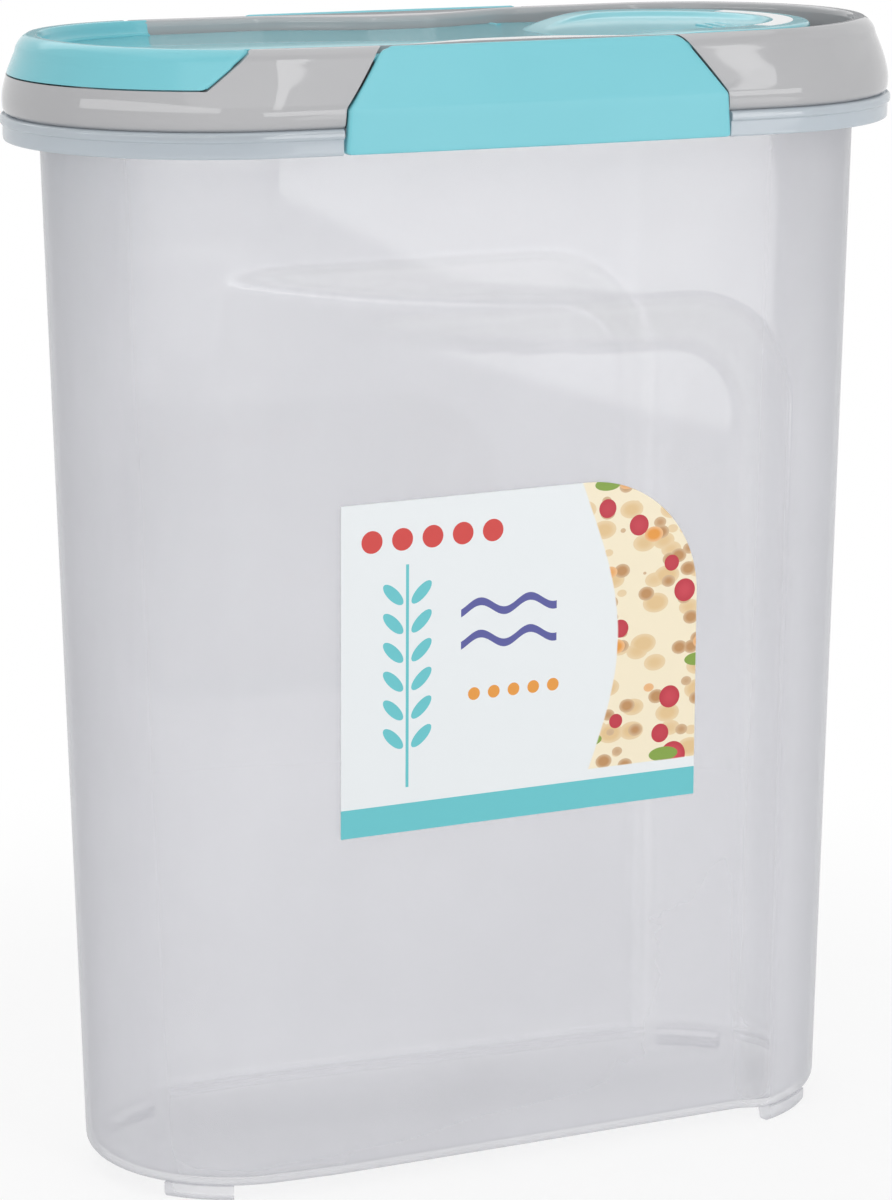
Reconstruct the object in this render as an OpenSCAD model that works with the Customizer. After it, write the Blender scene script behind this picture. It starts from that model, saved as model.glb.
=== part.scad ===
// Cereal container with a flip spout: a tall translucent food box with a pinched rear grip,
// a clip-down lid and a rocking flap that opens the pour mouth when its thumb pad is pressed.
// Frame: origin at the centre of the base on the surface it stands on, +Z up,
// +X from the spout end to the grip end, -Y the labelled front. Millimetres.

/* [Rim and overall plan] */
// Overall length across the rim skirt
rim_len = 254; // [240:1:270]
// Overall depth across the rim skirt
rim_dep = 120.8; // [116:0.2:126]
// How much the long sides bow out from straight
side_bow = 1.6; // [0.8:0.1:2.6]
// Height of the flange top above the table
rim_z = 294.5; // [270:0.5:320]
// Height of the rim skirt
skirt_h = 6.9; // [6:0.1:9]
// Thickness of the flange and the skirt
flange_t = 2; // [1.4:0.1:2.4]

/* [Container walls] */
// How far the wall stands inside the rim skirt
wall_in = 10.3; // [9.6:0.1:12]
// Draft of each wall from flange to base
draft = 6.7; // [3:0.1:9]
// Wall thickness
wall_t = 1.6; // [1.2:0.1:2]
// Thickness of the base
base_t = 2.2; // [1.6:0.1:3]
// Radius of the base edge
base_r = 4; // [3:0.5:6]
// Height of the four feet
foot_h = 3.9; // [2.5:0.1:5]
// Radial width of a foot
foot_w = 6; // [4:0.5:8]

/* [Grip] */
// Height of the top of the grip recess
grip_top = 242.5; // [220:0.5:255]
// Where the recess ends towards the rear
grip_rear = 81; // [70:1:86]
// Where the recess fades out towards the spout
grip_front = -52; // [-60:1:-30]
// Radius of the upper rear corner of the recess
grip_r = 34; // [20:1:40]
// Width of the sloped shoulder round the recess
grip_band = 12; // [8:0.5:18]
// Depth of the recess under its shoulder
grip_deep = 6.8; // [3:0.1:8]
// Depth of the recess at the base
grip_foot = 4; // [2:0.1:5]

/* [Lid] */
// Height of the lid above the flange
lid_h = 20.1; // [19:0.1:22]
// Extra height of the lid rim at the two ends
end_rise = 0.8; // [0:0.1:1.2]
// How far the well in the lid stands inside the rim skirt
well_in = 11; // [10.6:0.1:12]
// How far the well narrows at the clips
waist = 11; // [6:0.5:13]
// Height of the well floor above the flange
floor_up = 8.7; // [8:0.1:9.2]
// Thickness of the well floor
floor_t = 2; // [1.6:0.1:2.6]
// Depth of the plug skirt below the flange
plug_h = 7; // [4:0.5:12]
// Thickness of the plug skirt
plug_t = 1.6; // [1.2:0.1:2]
// Gap between the plug skirt and the container wall
plug_gap = 0.7; // [0.4:0.05:1]
// Height of the sealing ring
seal_h = 3.1; // [2.4:0.1:3.6]
// Radial width of the sealing ring
seal_w = 2.2; // [1.8:0.1:2.4]

/* [Spout and flap] */
// Where the flap's shoulder meets the lid, at the lid's split
cap_x = -90; // [-96:0.5:-86]
// How far that shoulder leans to the rear for each millimetre of height
cap_lean = 1.3; // [1:0.05:1.5]
// Height of the split between lid and flap above the flange
split_up = 10.3; // [9.6:0.1:11]
// Where the flap's inner wall ends, inside the lid's rim
strip_x = -72; // [-78:0.5:-71.5]
// How far that inner wall stands inside the rim skirt
strip_in = 9.6; // [9.2:0.1:9.8]
// Gap between the flap and the lid
flap_gap = 0.6; // [0.4:0.05:1]
// How far the flap's panel lies below the lid rim
panel_down = 3.7; // [3:0.1:4.5]
// Thickness of the flap's panel
panel_t = 1.8; // [1.4:0.1:2.2]
// Gap between the panel's edge and the well wall
panel_gap = 1.2; // [0.8:0.1:2]
// Position of the flap's pivot
pivot_x = 30; // [20:1:34]
// Radius of the flap's pivot pins
pivot_r = 1.4; // [1.2:0.1:1.5]
// Radial clearance of the pivot pins
pivot_clear = 0.05; // [0.02:0.01:0.1]
// Centre of the thumb pad
pad_x = 63; // [58:0.5:64]
// Half length of the thumb pad
pad_a = 41; // [36:0.5:42]
// Half width of the thumb pad
pad_b = 40; // [34:0.5:41]
// How far the thumb pad's top lies below the lid rim
pad_down = 0.5; // [0:0.1:1]
// Depth of the dish in the thumb pad
dish_deep = 0.8; // [0.4:0.1:1]
// Right edge of the pour mouth
mouth_x = -66; // [-74:0.5:-60]
// How far the pour mouth stands inside the rim skirt
mouth_in = 19; // [17:0.5:26]
// Height of the collar round the pour mouth
collar_h = 3.6; // [2:0.1:3.8]
// Wall of the collar round the pour mouth
collar_t = 1.8; // [1.4:0.1:2.4]
// Running gap between the flap's seal and the collar
seal_gap = 0.3; // [0.2:0.05:0.4]

/* [Clips] */
// Width of a clip at its foot
clip_w = 109.6; // [90:0.5:116]
// Width of a clip at its top
clip_top_w = 84.4; // [76:0.5:88]
// Height of a clip's crease above the flange
crease_up = 5; // [3:0.1:7]
// Thickness of a clip's plate
clip_t = 2.4; // [2:0.1:2.6]
// Gap round a clip
clip_gap = 0.7; // [0.5:0.05:1]
// Radius of a clip's hinge pins
pin_r = 1.1; // [0.9:0.05:1.15]
// Radial clearance of a clip's hinge pins
pin_clear = 0.05; // [0.02:0.01:0.1]
// Length that a hinge pin stands out
pin_len = 2.6; // [2:0.1:3]
// Radius of a clip's upper corners
clip_r = 7; // [3:0.5:9]
// Radius of a clip's corners at the crease
clip_crease_r = 2.5; // [1:0.25:4]
// Radius of a clip's lower corners
clip_foot_r = 0.8; // [0.6:0.1:2]
// How far a clip's lower half stands proud of the rim skirt
clip_proud = 0.5; // [0.2:0.1:0.8]
// How far a clip's ends are relieved behind its face, so that they turn in the lid
clip_relief = 1.3; // [1:0.1:2]
// How far a clip's hook reaches under the flange
hook_in = 1.8; // [1.2:0.1:2.2]
// Play between a clip's hook and the flange
hook_play = 0.5; // [0.45:0.05:0.6]

/* [Label] */
// Left edge of the label
label_x0 = -52.5; // [-56:0.5:-40]
// Right edge of the label
label_x1 = 55.5; // [40:0.5:58]
// Lower edge of the label
label_z0 = 101.5; // [60:0.5:110]
// Upper edge of the label
label_z1 = 193.5; // [150:0.5:200]
// Radius of the label's large corner
label_r = 34; // [10:1:40]
// Thickness of the label
label_t = 0.3; // [0.2:0.05:0.5]

/* [Hidden] */
eps = 0.01;
aqua = [0.46, 0.8, 0.85];
grey = [0.7, 0.7, 0.71];

// The plan is an oval of four tangent arcs: two long side arcs and two end arcs.
half_l = rim_len / 2;
half_d = rim_dep / 2;
end_r = half_d - side_bow;
end_x = half_l - end_r;
side_r = (end_x * end_x + half_d * half_d - end_r * end_r) / (2 * side_bow);
side_y = side_r - half_d;
side_a = atan2(side_y, end_x);

n_end = 14;
n_side = 18;

// Heights that several pieces share
skirt_z = rim_z - skirt_h;
lid_z = rim_z + lid_h;
floor_z = rim_z + floor_up;
split_z = rim_z + split_up;
panel_z = lid_z - panel_down;
pad_z = lid_z - pad_down;
notch_in = 3.6;

// The clips' hinge line
pin_y = half_d - 7.6;
pin_z = lid_z - 2.8;
clip_foot_z = skirt_z + 0.2;

// Smooth step from 0 at a to 1 at b
function ease(a, b, v) = let (t = min(1, max(0, (v - a) / (b - a)))) t * t * (3 - 2 * t);

// The oval at an inset, as points counted anticlockwise from the rear end's right side.
function arc_points(cx, cy, r, a0, a1, n) =
    [for (k = [0:n - 1]) let (a = a0 + (a1 - a0) * k / n) [cx + r * cos(a), cy + r * sin(a)]];
function oval(in, n1 = n_end, n2 = n_side) = concat(
    arc_points(end_x, 0, end_r - in, -side_a, side_a, n1),
    arc_points(0, -side_y, side_r - in, side_a, 180 - side_a, n2),
    arc_points(-end_x, 0, end_r - in, 180 - side_a, 180 + side_a, n1),
    arc_points(0, side_y, side_r - in, 180 + side_a, 360 - side_a, n2));

// Depth of the pinched grip at a place on either long wall
function grip_corner(x, z) = let (u = x - grip_rear + grip_r, w = z - grip_top + grip_r)
    u > 0 && w > 0 ? grip_r - norm([u, w]) : min(grip_rear - x, grip_top - z);
function grip_full(x, z) = let (t = min(1, max(0, (x - grip_front) / (grip_rear - grip_band - grip_front))))
    (grip_foot + (grip_deep - grip_foot) * z / grip_top) * t * (2 - t);
function grip(x, z) = let (full = grip_full(x, z))
    min(full, max(0, grip_corner(x, z)) * grip_deep / grip_band);
function pinch(p, z) = [p.x, p.y - sign(p.y) * grip(p.x, z) * ease(0, end_r / 2, abs(p.y)), z];

// One level of the container wall, at a further inset from its outer face
function wall_at(z) = wall_in + draft * (1 - z / rim_z);
function wall_ring(z, in = 0) = [for (p = oval(wall_at(z) + in)) pinch(p, z)];
function flat_ring(z, in) = [for (p = oval(in)) [p.x, p.y, z]];

// How far the lid's well wall is drawn in at the clips
function waist_at(x) = waist * (1 - ease(6, clip_top_w / 2, abs(x)));
function well_points(in) = [for (p = oval(in)) [p.x, p.y - sign(p.y) * waist_at(p.x)]];

// Skin over rings of equally many points, from the first ring to the last.
module skin(rings, loop = false) {
    n = len(rings[0]);
    m = len(rings);
    wraps = loop ? m : m - 1;
    sides = [for (i = [0:wraps - 1]) for (k = [0:n - 1])
        let (a = i * n + k, b = i * n + (k + 1) % n,
             c = ((i + 1) % m) * n + (k + 1) % n, d = ((i + 1) % m) * n + k)
        each [[a, c, b], [a, d, c]]];
    ends = loop ? [] : [[for (k = [0:n - 1]) k], [for (k = [n - 1:-1:0]) (m - 1) * n + k]];
    polyhedron(points = [for (r = rings) each r], faces = concat(sides, ends), convexity = 8);
}

// ---- container: one moulded box with a flange, a skirt and four feet ----

wall_levels = [50, 100, 150, 185, 200, 210, 218, 225, 231, 237, 243, 268];

module container_shell() {
    foot_edge = [for (a = [0:30:90]) wall_ring(foot_h + base_r * (1 - cos(a)), base_r * (1 - sin(a)))];
    inner_foot = foot_h + base_t;
    skin(concat(
        foot_edge,
        [for (z = wall_levels) wall_ring(z)],
        [flat_ring(rim_z - flange_t, wall_at(rim_z)),
         flat_ring(rim_z - flange_t, flange_t),
         flat_ring(skirt_z, flange_t),
         flat_ring(skirt_z, 0.3),
         flat_ring(skirt_z + 0.6, 0),
         flat_ring(rim_z - 1, 0),
         flat_ring(rim_z, 1.2),
         flat_ring(rim_z, wall_at(rim_z) + wall_t - 0.4),
         flat_ring(rim_z - 1, wall_at(rim_z) + wall_t)],
        [for (i = [len(wall_levels) - 1:-1:0]) wall_ring(wall_levels[i], wall_t)],
        [wall_ring(inner_foot + 2, wall_t),
         wall_ring(inner_foot, wall_t + 2)]));
}

module foot(sx, sy) {
    r = end_r - wall_in - draft;
    scale([sx, sy, 1]) translate([end_x, 0, 0]) rotate(42)
        rotate_extrude(angle = 28, $fn = 96)
            polygon([[r - foot_w, foot_h + 0.5], [r - foot_w + 0.8, 0], [r - 2.2, 0], [r - 1, 1.2],
                     [r - 1, foot_h + 0.5]]);
}

module clip_notch(sy) {
    w = clip_w + 2 * clip_gap;
    y = half_d - notch_in;
    translate([-w / 2, sy > 0 ? y : -y - 10, skirt_z - 1]) cube([w, 10, skirt_h + 2]);
}

module container() {
    color([0.85, 0.87, 0.9, 0.6]) {
        difference() {
            container_shell();
            clip_notch(-1);
            clip_notch(1);
        }
        for (sx = [-1, 1]) for (sy = [-1, 1]) foot(sx, sy);
    }
}

// ---- front label: a thin sheet that follows the wall ----

label_cols = 16;
label_rows = 6;

// Columns of the sheet: even across the straight top, then by angle round the large corner
function label_x(i) = let (n = label_cols / 2, arc_x = label_x1 - label_r)
    i <= n ? label_x0 + (arc_x - label_x0) * i / n : arc_x + (label_r - 0.4) * sin(90 * (i - n) / n);
function label_top(x) = let (u = x - (label_x1 - label_r))
    u <= 0 ? label_z1 : label_z1 - label_r + sqrt(max(0, label_r * label_r - u * u));
function front_y(x, z, out) = let (in = wall_at(z) - out)
    -(sqrt(pow(side_r - in, 2) - x * x) - side_y - grip(x, z));

module front_label() {
    sheet = [for (i = [0:label_cols])
        let (x = label_x(i), top = label_top(x))
        [for (s = [0, 1]) for (j = [0:label_rows])
            let (k = s == 0 ? j : label_rows - j, z = label_z0 + (top - label_z0) * k / label_rows)
            [x, front_y(x, z, s == 0 ? label_t : 0.02), z]]];
    color("white") skin(sheet);
}

// ---- lid frame: rim, well, plug skirt, pour mouth and the seats of what moves ----

// The lid's outer face as [inset, height above the flange], from its foot to the ridge
function lid_side() = [[2.2, 0.3], [1.1, 1.1], [0.7, 2.6], [0.8, 5.5], [1.9, 10], [3.6, 14.4],
                       [5, 17.4], [6.4, lid_h - 0.9], [7.8, lid_h]];
function rise(x) = end_rise * pow(x / half_l, 2);
function lift(x, up) = rim_z + up + (up > lid_h - 4 ? rise(x) : 0);

// A ring that is swept round the oval from a section; points beyond the ridge follow the waist.
function lid_point(x, y, in, up) =
    [x, in > well_in - 1.5 && up > floor_up - 1 ? y - sign(y) * waist_at(x) : y, lift(x, up)];

module lid_ring() {
    groove_in = wall_at(rim_z) + wall_t + plug_gap - seal_w;
    groove_out = wall_at(rim_z) + wall_t + plug_gap;
    section = concat(lid_side(), [
        [well_in - 1.2, lid_h - 0.1],
        [well_in - 0.2, lid_h - 0.9],
        [well_in, floor_up - 0.5],
        [groove_out + plug_t, floor_up - floor_t],
        [groove_out + plug_t, -plug_h],
        [groove_out + 0.4, -plug_h],
        [groove_out, -plug_h + 1.5],
        [groove_out, seal_h],
        [groove_in, seal_h],
        [groove_in, 0.3]]);
    skin([for (s = section) [for (p = oval(s.x)) lid_point(p.x, p.y, s.x, s.y)]], loop = true);
}

// The pour mouth's outline: the spout end of the oval, cut off square with rounded corners
module mouth_outline(grow = 0) {
    offset(r = grow + 8) offset(delta = -8) intersection() {
        polygon(oval(mouth_in));
        translate([-half_l, -half_d]) square([half_l + mouth_x, rim_dep]);
    }
}

// The room of the flap's cap: all that lies over the split and left of the slanted shoulder,
// and the inner wall that runs on inside the rim. A gap above 0 draws it in, for the flap.
module cap_room(gap = 0) {
    slope = lid_h - split_up + 3;
    low = split_z + gap;
    translate([0, rim_dep, 0]) rotate([90, 0, 0]) linear_extrude(2 * rim_dep)
        polygon([[-rim_len, low], [cap_x - gap / 3, low],
                 [cap_x - gap / 3 + cap_lean * slope, low + slope], [-rim_len, low + slope]]);
    translate([0, 0, low]) linear_extrude(slope) intersection() {
        polygon(oval(strip_in + gap - flap_gap));
        translate([-rim_len, -rim_dep]) square([rim_len + strip_x + flap_gap - gap, 2 * rim_dep]);
    }
}

// Centre of a corner's arc, from the corner and the outward normals of its two sides
function corner_centre(corner, n1, n2, r) = corner - r * (n1 + n2) / (1 + n1 * n2);
function normal_of(a, b) = [b.y - a.y, a.x - b.x] / norm(b - a);

// Front view of a clip: a trapezoid over a nearly square foot, with rounded corners
clip_foot = [clip_w / 2, clip_foot_z];
clip_crease = [clip_w / 2 - 0.8, rim_z + crease_up];
clip_top = [clip_top_w / 2, lid_z + 0.6];
module clip_outline(grow = 0) {
    n_low = normal_of(clip_foot, clip_crease);
    n_high = normal_of(clip_crease, clip_top);
    corners = [[corner_centre(clip_foot, [0, -1], n_low, clip_foot_r), clip_foot_r],
               [corner_centre(clip_crease, n_low, n_high, clip_crease_r), clip_crease_r],
               [corner_centre(clip_top, n_high, [0, 1], clip_r), clip_r]];
    hull() for (sx = [-1, 1]) for (c = corners)
        translate([sx * c[0].x, c[0].y]) circle(c[1] + grow, $fn = 48);
}

// Half width of a clip's outline at a height over the crease
function clip_half(z) = clip_crease.x
    + (clip_top.x - clip_crease.x) * (z - clip_crease.y) / (clip_top.y - clip_crease.y);
pin_end = clip_half(pin_z) + pin_len;

// Room in the lid for a clip and for the swing of its top edge
module clip_pocket() {
    back = pin_y - 1.9;
    translate([0, -back, 0]) rotate([90, 0, 0]) linear_extrude(20) clip_outline(clip_gap);
}

module lid_floor() {
    translate([0, 0, floor_z - floor_t]) linear_extrude(floor_t) difference() {
        polygon(well_points(well_in - 1));
        mouth_outline();
    }
    translate([0, 0, floor_z - floor_t]) linear_extrude(collar_h + floor_t) difference() {
        mouth_outline(collar_t);
        mouth_outline();
    }
}

module lid_frame() {
    color(grey) difference() {
        union() {
            lid_ring();
            lid_floor();
        }
        cap_room();
        for (turn = [0, 180]) rotate(turn) {
            clip_pocket();
            translate([0, -pin_y, pin_z]) rotate([0, 90, 0])
                cylinder(r = pin_r + pin_clear, h = 2 * pin_end + 1, center = true, $fn = 32);
        }
        translate([pivot_x, 0, pivot_z]) rotate([90, 0, 0])
            cylinder(r = pivot_r + pivot_clear, h = 2 * pivot_end + 1, center = true, $fn = 32);
    }
}

// ---- lid gasket: the silicone ring that the plug squeezes on the flange ----

module lid_gasket() {
    outer = wall_at(rim_z) + wall_t + plug_gap - seal_w;
    color([0.9, 0.9, 0.9]) translate([0, 0, rim_z]) linear_extrude(seal_h) difference() {
        polygon(oval(outer));
        polygon(oval(outer + seal_w));
    }
}

// ---- clips: bowed plates that hinge at the lid's ridge and hook under the flange ----

// The clip's outer face from the crease to the top, as [distance out from the rim skirt, height]
function clip_face() = let (crease_z = clip_crease.y, drop = lid_z - crease_z)
    [[clip_proud, crease_z - 0.8], [clip_proud - 0.15, crease_z + 0.6],
     [clip_proud - 2.9, lid_z - 0.478 * drop], [-4.9, lid_z - 1.4], [-5.2, lid_z - 0.1],
     [-5.9, lid_z + 0.3]];

// Section of a clip round its plate and hook
function clip_section() = let (crease_z = clip_crease.y, back = clip_proud - clip_t,
    hook = -notch_in - hook_in, hook_top = rim_z - flange_t - hook_play)
    concat([[clip_proud - 0.1, clip_foot_z + 0.6]], clip_face(),
    [[-6.7, lid_z - 0.2], [-8.4, pin_z + 1.2], [-8.8, pin_z], [-8.4, pin_z - 1.2],
     [-6, lid_z - 7.4], [back - 1.1, crease_z + 0.4], [back, crease_z - 1.4], [back, hook_top],
     [hook + 0.4, hook_top], [hook, hook_top - 0.5], [hook + 0.3, clip_foot_z + 1.6],
     [1 - notch_in, clip_foot_z], [-0.2, clip_foot_z]]);

// Section of the thin face that keeps the full outline where the ends are relieved
function clip_skin() = concat(clip_face(),
    [for (k = [5:-1:0]) clip_face()[k] + (k == 5 ? [-0.5, -0.5] : [-0.9, -0.25])]);

// A section swept along the bow of the long side, facing the front
module clip_bow(section) {
    sweep = 2 * asin((clip_w / 2 + 2) / side_r);
    translate([0, side_y, 0]) rotate(-90 - sweep / 2) rotate_extrude(angle = sweep, $fn = 256)
        polygon([for (s = section) [side_r + s.x, s.y]]);
}

module clip_body() {
    depth = half_d - pin_y + notch_in + hook_in;
    intersection() {
        clip_bow(clip_section());
        translate([0, depth - pin_y, 0]) rotate([90, 0, 0]) linear_extrude(2 * depth) union() {
            clip_outline(-clip_relief);
            intersection() {
                clip_outline();
                translate([-clip_w, skirt_z - 1]) square([2 * clip_w, skirt_h + crease_up + 6]);
            }
        }
    }
    intersection() {
        clip_bow(clip_skin());
        translate([0, depth - pin_y, 0]) rotate([90, 0, 0]) linear_extrude(2 * depth)
            clip_outline();
    }
}

module clip() {
    clip_body();
    translate([0, -pin_y, pin_z]) rotate([0, 90, 0])
        cylinder(r = pin_r, h = 2 * pin_end, center = true, $fn = 32);
}

module front_clip() {
    color(aqua) clip();
}

module rear_clip() {
    color(aqua) rotate(180) clip();
}

// ---- spout flap: cap, panel and thumb pad in one rocking piece ----

pivot_z = panel_z - panel_t - 0.4;
pivot_end = half_d - well_in - waist_at(pivot_x) + 2.6;
dish_x = pad_x - 1.7;
n_pad = 48;

// Section of the cap as [inset, height above the flange]: a thin shell, open below
function cap_section() = let (low = split_up + flap_gap, roof = lid_h - panel_down)
    concat([[2.25, low]], [for (s = lid_side()) if (s.y > low) s],
        [[well_in - 1.6, lid_h - 0.1], [well_in - 0.4, lid_h - 0.9],
         [well_in + 0.4, roof + 0.4], [well_in + 2.5, roof - 0.1],
         [well_in + 2.5, roof - panel_t + 0.1], [well_in - 0.8, roof - panel_t + 0.1],
         [well_in - 1.6, roof + 1.2], [well_in - 2.8, lid_h - 2.1], [6.6, lid_h - 2.9],
         [5.2, lid_h - 5.7], [4, low]]);

module cap_rim() {
    intersection() {
        skin([for (k = [n_end:-1:0]) let (a = 180 - side_a + 2 * side_a * k / n_end)
            [for (s = cap_section())
                let (x = -end_x + (end_r - s.x) * cos(a)) [x, (end_r - s.x) * sin(a), lift(x, s.y)]]]);
        cap_room(flap_gap);
    }
}

module panel() {
    translate([0, 0, panel_z - panel_t]) linear_extrude(panel_t) intersection() {
        polygon(well_points(well_in + panel_gap));
        translate([-rim_len, -half_d]) square([rim_len + pad_x - 6, rim_dep]);
        union() {
            translate([-rim_len, -half_d]) square([rim_len + pivot_x, rim_dep]);
            hull() {
                translate([pivot_x - 1, well_in + 4 - half_d])
                    square([1, rim_dep - 2 * well_in - 8]);
                translate([pad_x, 0]) polygon([for (k = [0:n_pad - 1])
                    [(pad_a - 1) * cos(360 * k / n_pad), (pad_b - 1) * sin(360 * k / n_pad)]]);
            }
        }
    }
}

// One ring of the thumb pad: it lies at height z0 on its left and climbs to z1 on its right.
function pad_ring(s, z0, z1, cx = pad_x) = [for (k = [0:n_pad - 1])
    let (a = 360 * k / n_pad, x = cx + s * pad_a * cos(a))
    [x, s * pad_b * sin(a), z0 + (z1 - z0) * ease(pad_x - pad_a, pad_x - 4, x)]];

module pad_shell() {
    under = panel_z - panel_t + 0.4;
    top = panel_z - 0.3;
    dish_z = pad_z - dish_deep;
    skin([pad_ring(0.25, under, dish_z - panel_t, dish_x),
          pad_ring(0.72, under, dish_z - panel_t, dish_x),
          pad_ring(0.93, under, pad_z - panel_t),
          pad_ring(0.955, under + 0.1, under + 0.6),
          pad_ring(0.99, under + 0.1, under + 0.6),
          pad_ring(1, under + 0.4, under + 1.1),
          pad_ring(1, top - 0.3, pad_z - 0.9),
          pad_ring(0.985, top - 0.1, pad_z - 0.25),
          pad_ring(0.955, top, pad_z),
          pad_ring(0.765, top, pad_z, dish_x),
          pad_ring(0.71, top, dish_z, dish_x),
          pad_ring(0.25, top, dish_z, dish_x)]);
}

// A short raised bar on the dish, curved like the pad's edge
module pad_bar(r, half_angle) {
    translate([dish_x, 0, pad_z - dish_deep - 0.4]) rotate(-half_angle)
        rotate_extrude(angle = 2 * half_angle, $fn = 96)
            polygon([[r - 0.6, 0], [r + 0.6, 0], [r + 0.6, 0.6], [r + 0.3, 0.9], [r - 0.3, 0.9],
                     [r - 0.6, 0.6]]);
}

// A boss under the panel's edge with its pin, pointing to the front
module pivot() {
    inner = pivot_end - 9.6;
    translate([pivot_x, -inner, pivot_z]) rotate([90, 0, 0]) {
        cylinder(r = pivot_r + 1, h = 5, $fn = 32);
        cylinder(r = pivot_r, h = pivot_end - inner - 0.1, $fn = 32);
    }
    translate([pivot_x - pivot_r - 1, -inner - 5, pivot_z]) cube([2 * pivot_r + 2, 5, 1.4]);
}

module spout_flap() {
    color(aqua) {
        cap_rim();
        difference() {
            panel();
            translate([pivot_x, -16, panel_z - 0.5]) cylinder(r = 0.9, h = 1, $fn = 24);
        }
        pad_shell();
        for (k = [0, 1, 2]) pad_bar(16 + 2.6 * k, 22 - 2 * k);
        for (turn = [0, 1]) mirror([0, turn, 0]) pivot();
    }
}

// ---- flap seal: the soft ring under the flap that closes the pour mouth ----

module flap_seal() {
    low = floor_z + collar_h + seal_gap;
    color("white") translate([0, 0, low]) linear_extrude(panel_z - panel_t - low) difference() {
        mouth_outline(collar_t + 0.6);
        mouth_outline(-0.6);
    }
}

// ---- pad sticker: the bare white crescent on the thumb pad ----

module pad_sticker() {
    inner = [for (a = [-60:5:35]) [0.775 * pad_a * cos(a), 0.775 * pad_b * sin(a)]];
    outer = [for (a = [35:-5:-60]) [0.93 * pad_a * cos(a), 0.93 * pad_b * sin(a)]];
    color("white") translate([dish_x, 0, pad_z]) linear_extrude(0.15)
        polygon(concat(inner, outer));
}

container();
front_label();
lid_frame();
lid_gasket();
front_clip();
rear_clip();
spout_flap();
flap_seal();
pad_sticker();
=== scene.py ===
# %% [markdown]
# # A cereal container with a flip spout
# A tall box of milky plastic stands on four small feet. A grey lid sits on its rim, two aqua
# clips hold the lid down, and an aqua flap rocks on the lid to open the pour mouth. This lesson
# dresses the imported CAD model: each cell makes one piece, or one finish, of the real object.

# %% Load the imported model
import math
import bpy
import bmesh
import numpy as np
from mathutils import Matrix, Vector
from mathutils.geometry import tessellate_polygon


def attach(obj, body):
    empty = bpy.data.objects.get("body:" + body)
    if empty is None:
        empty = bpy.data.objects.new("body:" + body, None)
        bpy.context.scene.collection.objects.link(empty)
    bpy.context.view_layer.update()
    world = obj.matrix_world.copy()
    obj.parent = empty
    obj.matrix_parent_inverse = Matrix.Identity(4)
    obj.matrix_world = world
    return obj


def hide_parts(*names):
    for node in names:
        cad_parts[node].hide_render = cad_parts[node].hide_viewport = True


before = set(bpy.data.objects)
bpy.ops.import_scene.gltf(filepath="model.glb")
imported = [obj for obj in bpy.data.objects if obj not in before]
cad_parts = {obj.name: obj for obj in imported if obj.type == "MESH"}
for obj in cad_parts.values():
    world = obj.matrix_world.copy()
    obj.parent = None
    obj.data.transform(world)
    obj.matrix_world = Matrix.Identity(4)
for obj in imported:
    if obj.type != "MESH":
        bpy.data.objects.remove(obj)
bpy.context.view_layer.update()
MM = 0.001

# %% [markdown]
# ## Sizes
# The pieces share one oval plan, so the sizes are named once, in millimetres, with the same
# values as the CAD source. Everything else in the lesson is worked out from these.

# %% Sizes in millimetres
RIM_LEN, RIM_DEP, SIDE_BOW = 254.0, 120.8, 1.6
RIM_Z, SKIRT_H, FLANGE_T = 294.5, 6.9, 2.0
WALL_IN, DRAFT, WALL_T, BASE_T, BASE_R = 10.3, 6.7, 1.6, 2.2, 4.0
FOOT_H, FOOT_W = 3.9, 6.0
GRIP_TOP, GRIP_REAR, GRIP_FRONT, GRIP_R = 242.5, 81.0, -52.0, 34.0
GRIP_BAND, GRIP_DEEP, GRIP_FOOT, GRIP_SOFT = 12.0, 6.8, 4.0, 1.6
LID_H, END_RISE, RIDGE_H, WELL_IN, WAIST, WAIST_X = 20.1, 0.8, 4.0, 11.0, 11.0, 6.0
FLOOR_UP, FLOOR_T, PLUG_H, PLUG_T, PLUG_GAP = 8.7, 2.0, 7.0, 1.6, 0.7
SEAL_H, SEAL_W = 3.1, 2.2
CAP_X, CAP_LEAN, SPLIT_UP, STRIP_X, STRIP_IN, FLAP_GAP = -90.0, 1.3, 10.3, -72.0, 9.6, 0.4
PANEL_DOWN, PANEL_T, PANEL_GAP = 3.7, 1.8, 1.2
PIVOT_X, PIVOT_R, PAD_X, PAD_A, PAD_B = 30.0, 1.4, 63.0, 41.0, 40.0
PAD_DOWN, BOWL_DEEP, MOUTH_X, MOUTH_IN = 0.5, 2.6, -66.0, 19.0
COLLAR_H, COLLAR_T, SEAL_GAP = 3.6, 1.8, 0.3
CLIP_W, CLIP_TOP_W, CREASE_UP, CLIP_T, CLIP_GAP = 109.6, 84.4, 5.0, 2.4, 0.5
PIN_R, PIN_LEN, CLIP_R, CLIP_CREASE_R, CLIP_FOOT_R, CLIP_PROUD = 1.1, 2.6, 7.0, 2.5, 0.8, 0.5
CLIP_RELIEF, HOOK_IN, HOOK_PLAY, NOTCH_IN = 1.8, 1.8, 0.5, 3.6
LABEL_X0, LABEL_X1, LABEL_Z0, LABEL_Z1, LABEL_R = -52.5, 55.5, 101.5, 193.5, 34.0

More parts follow.
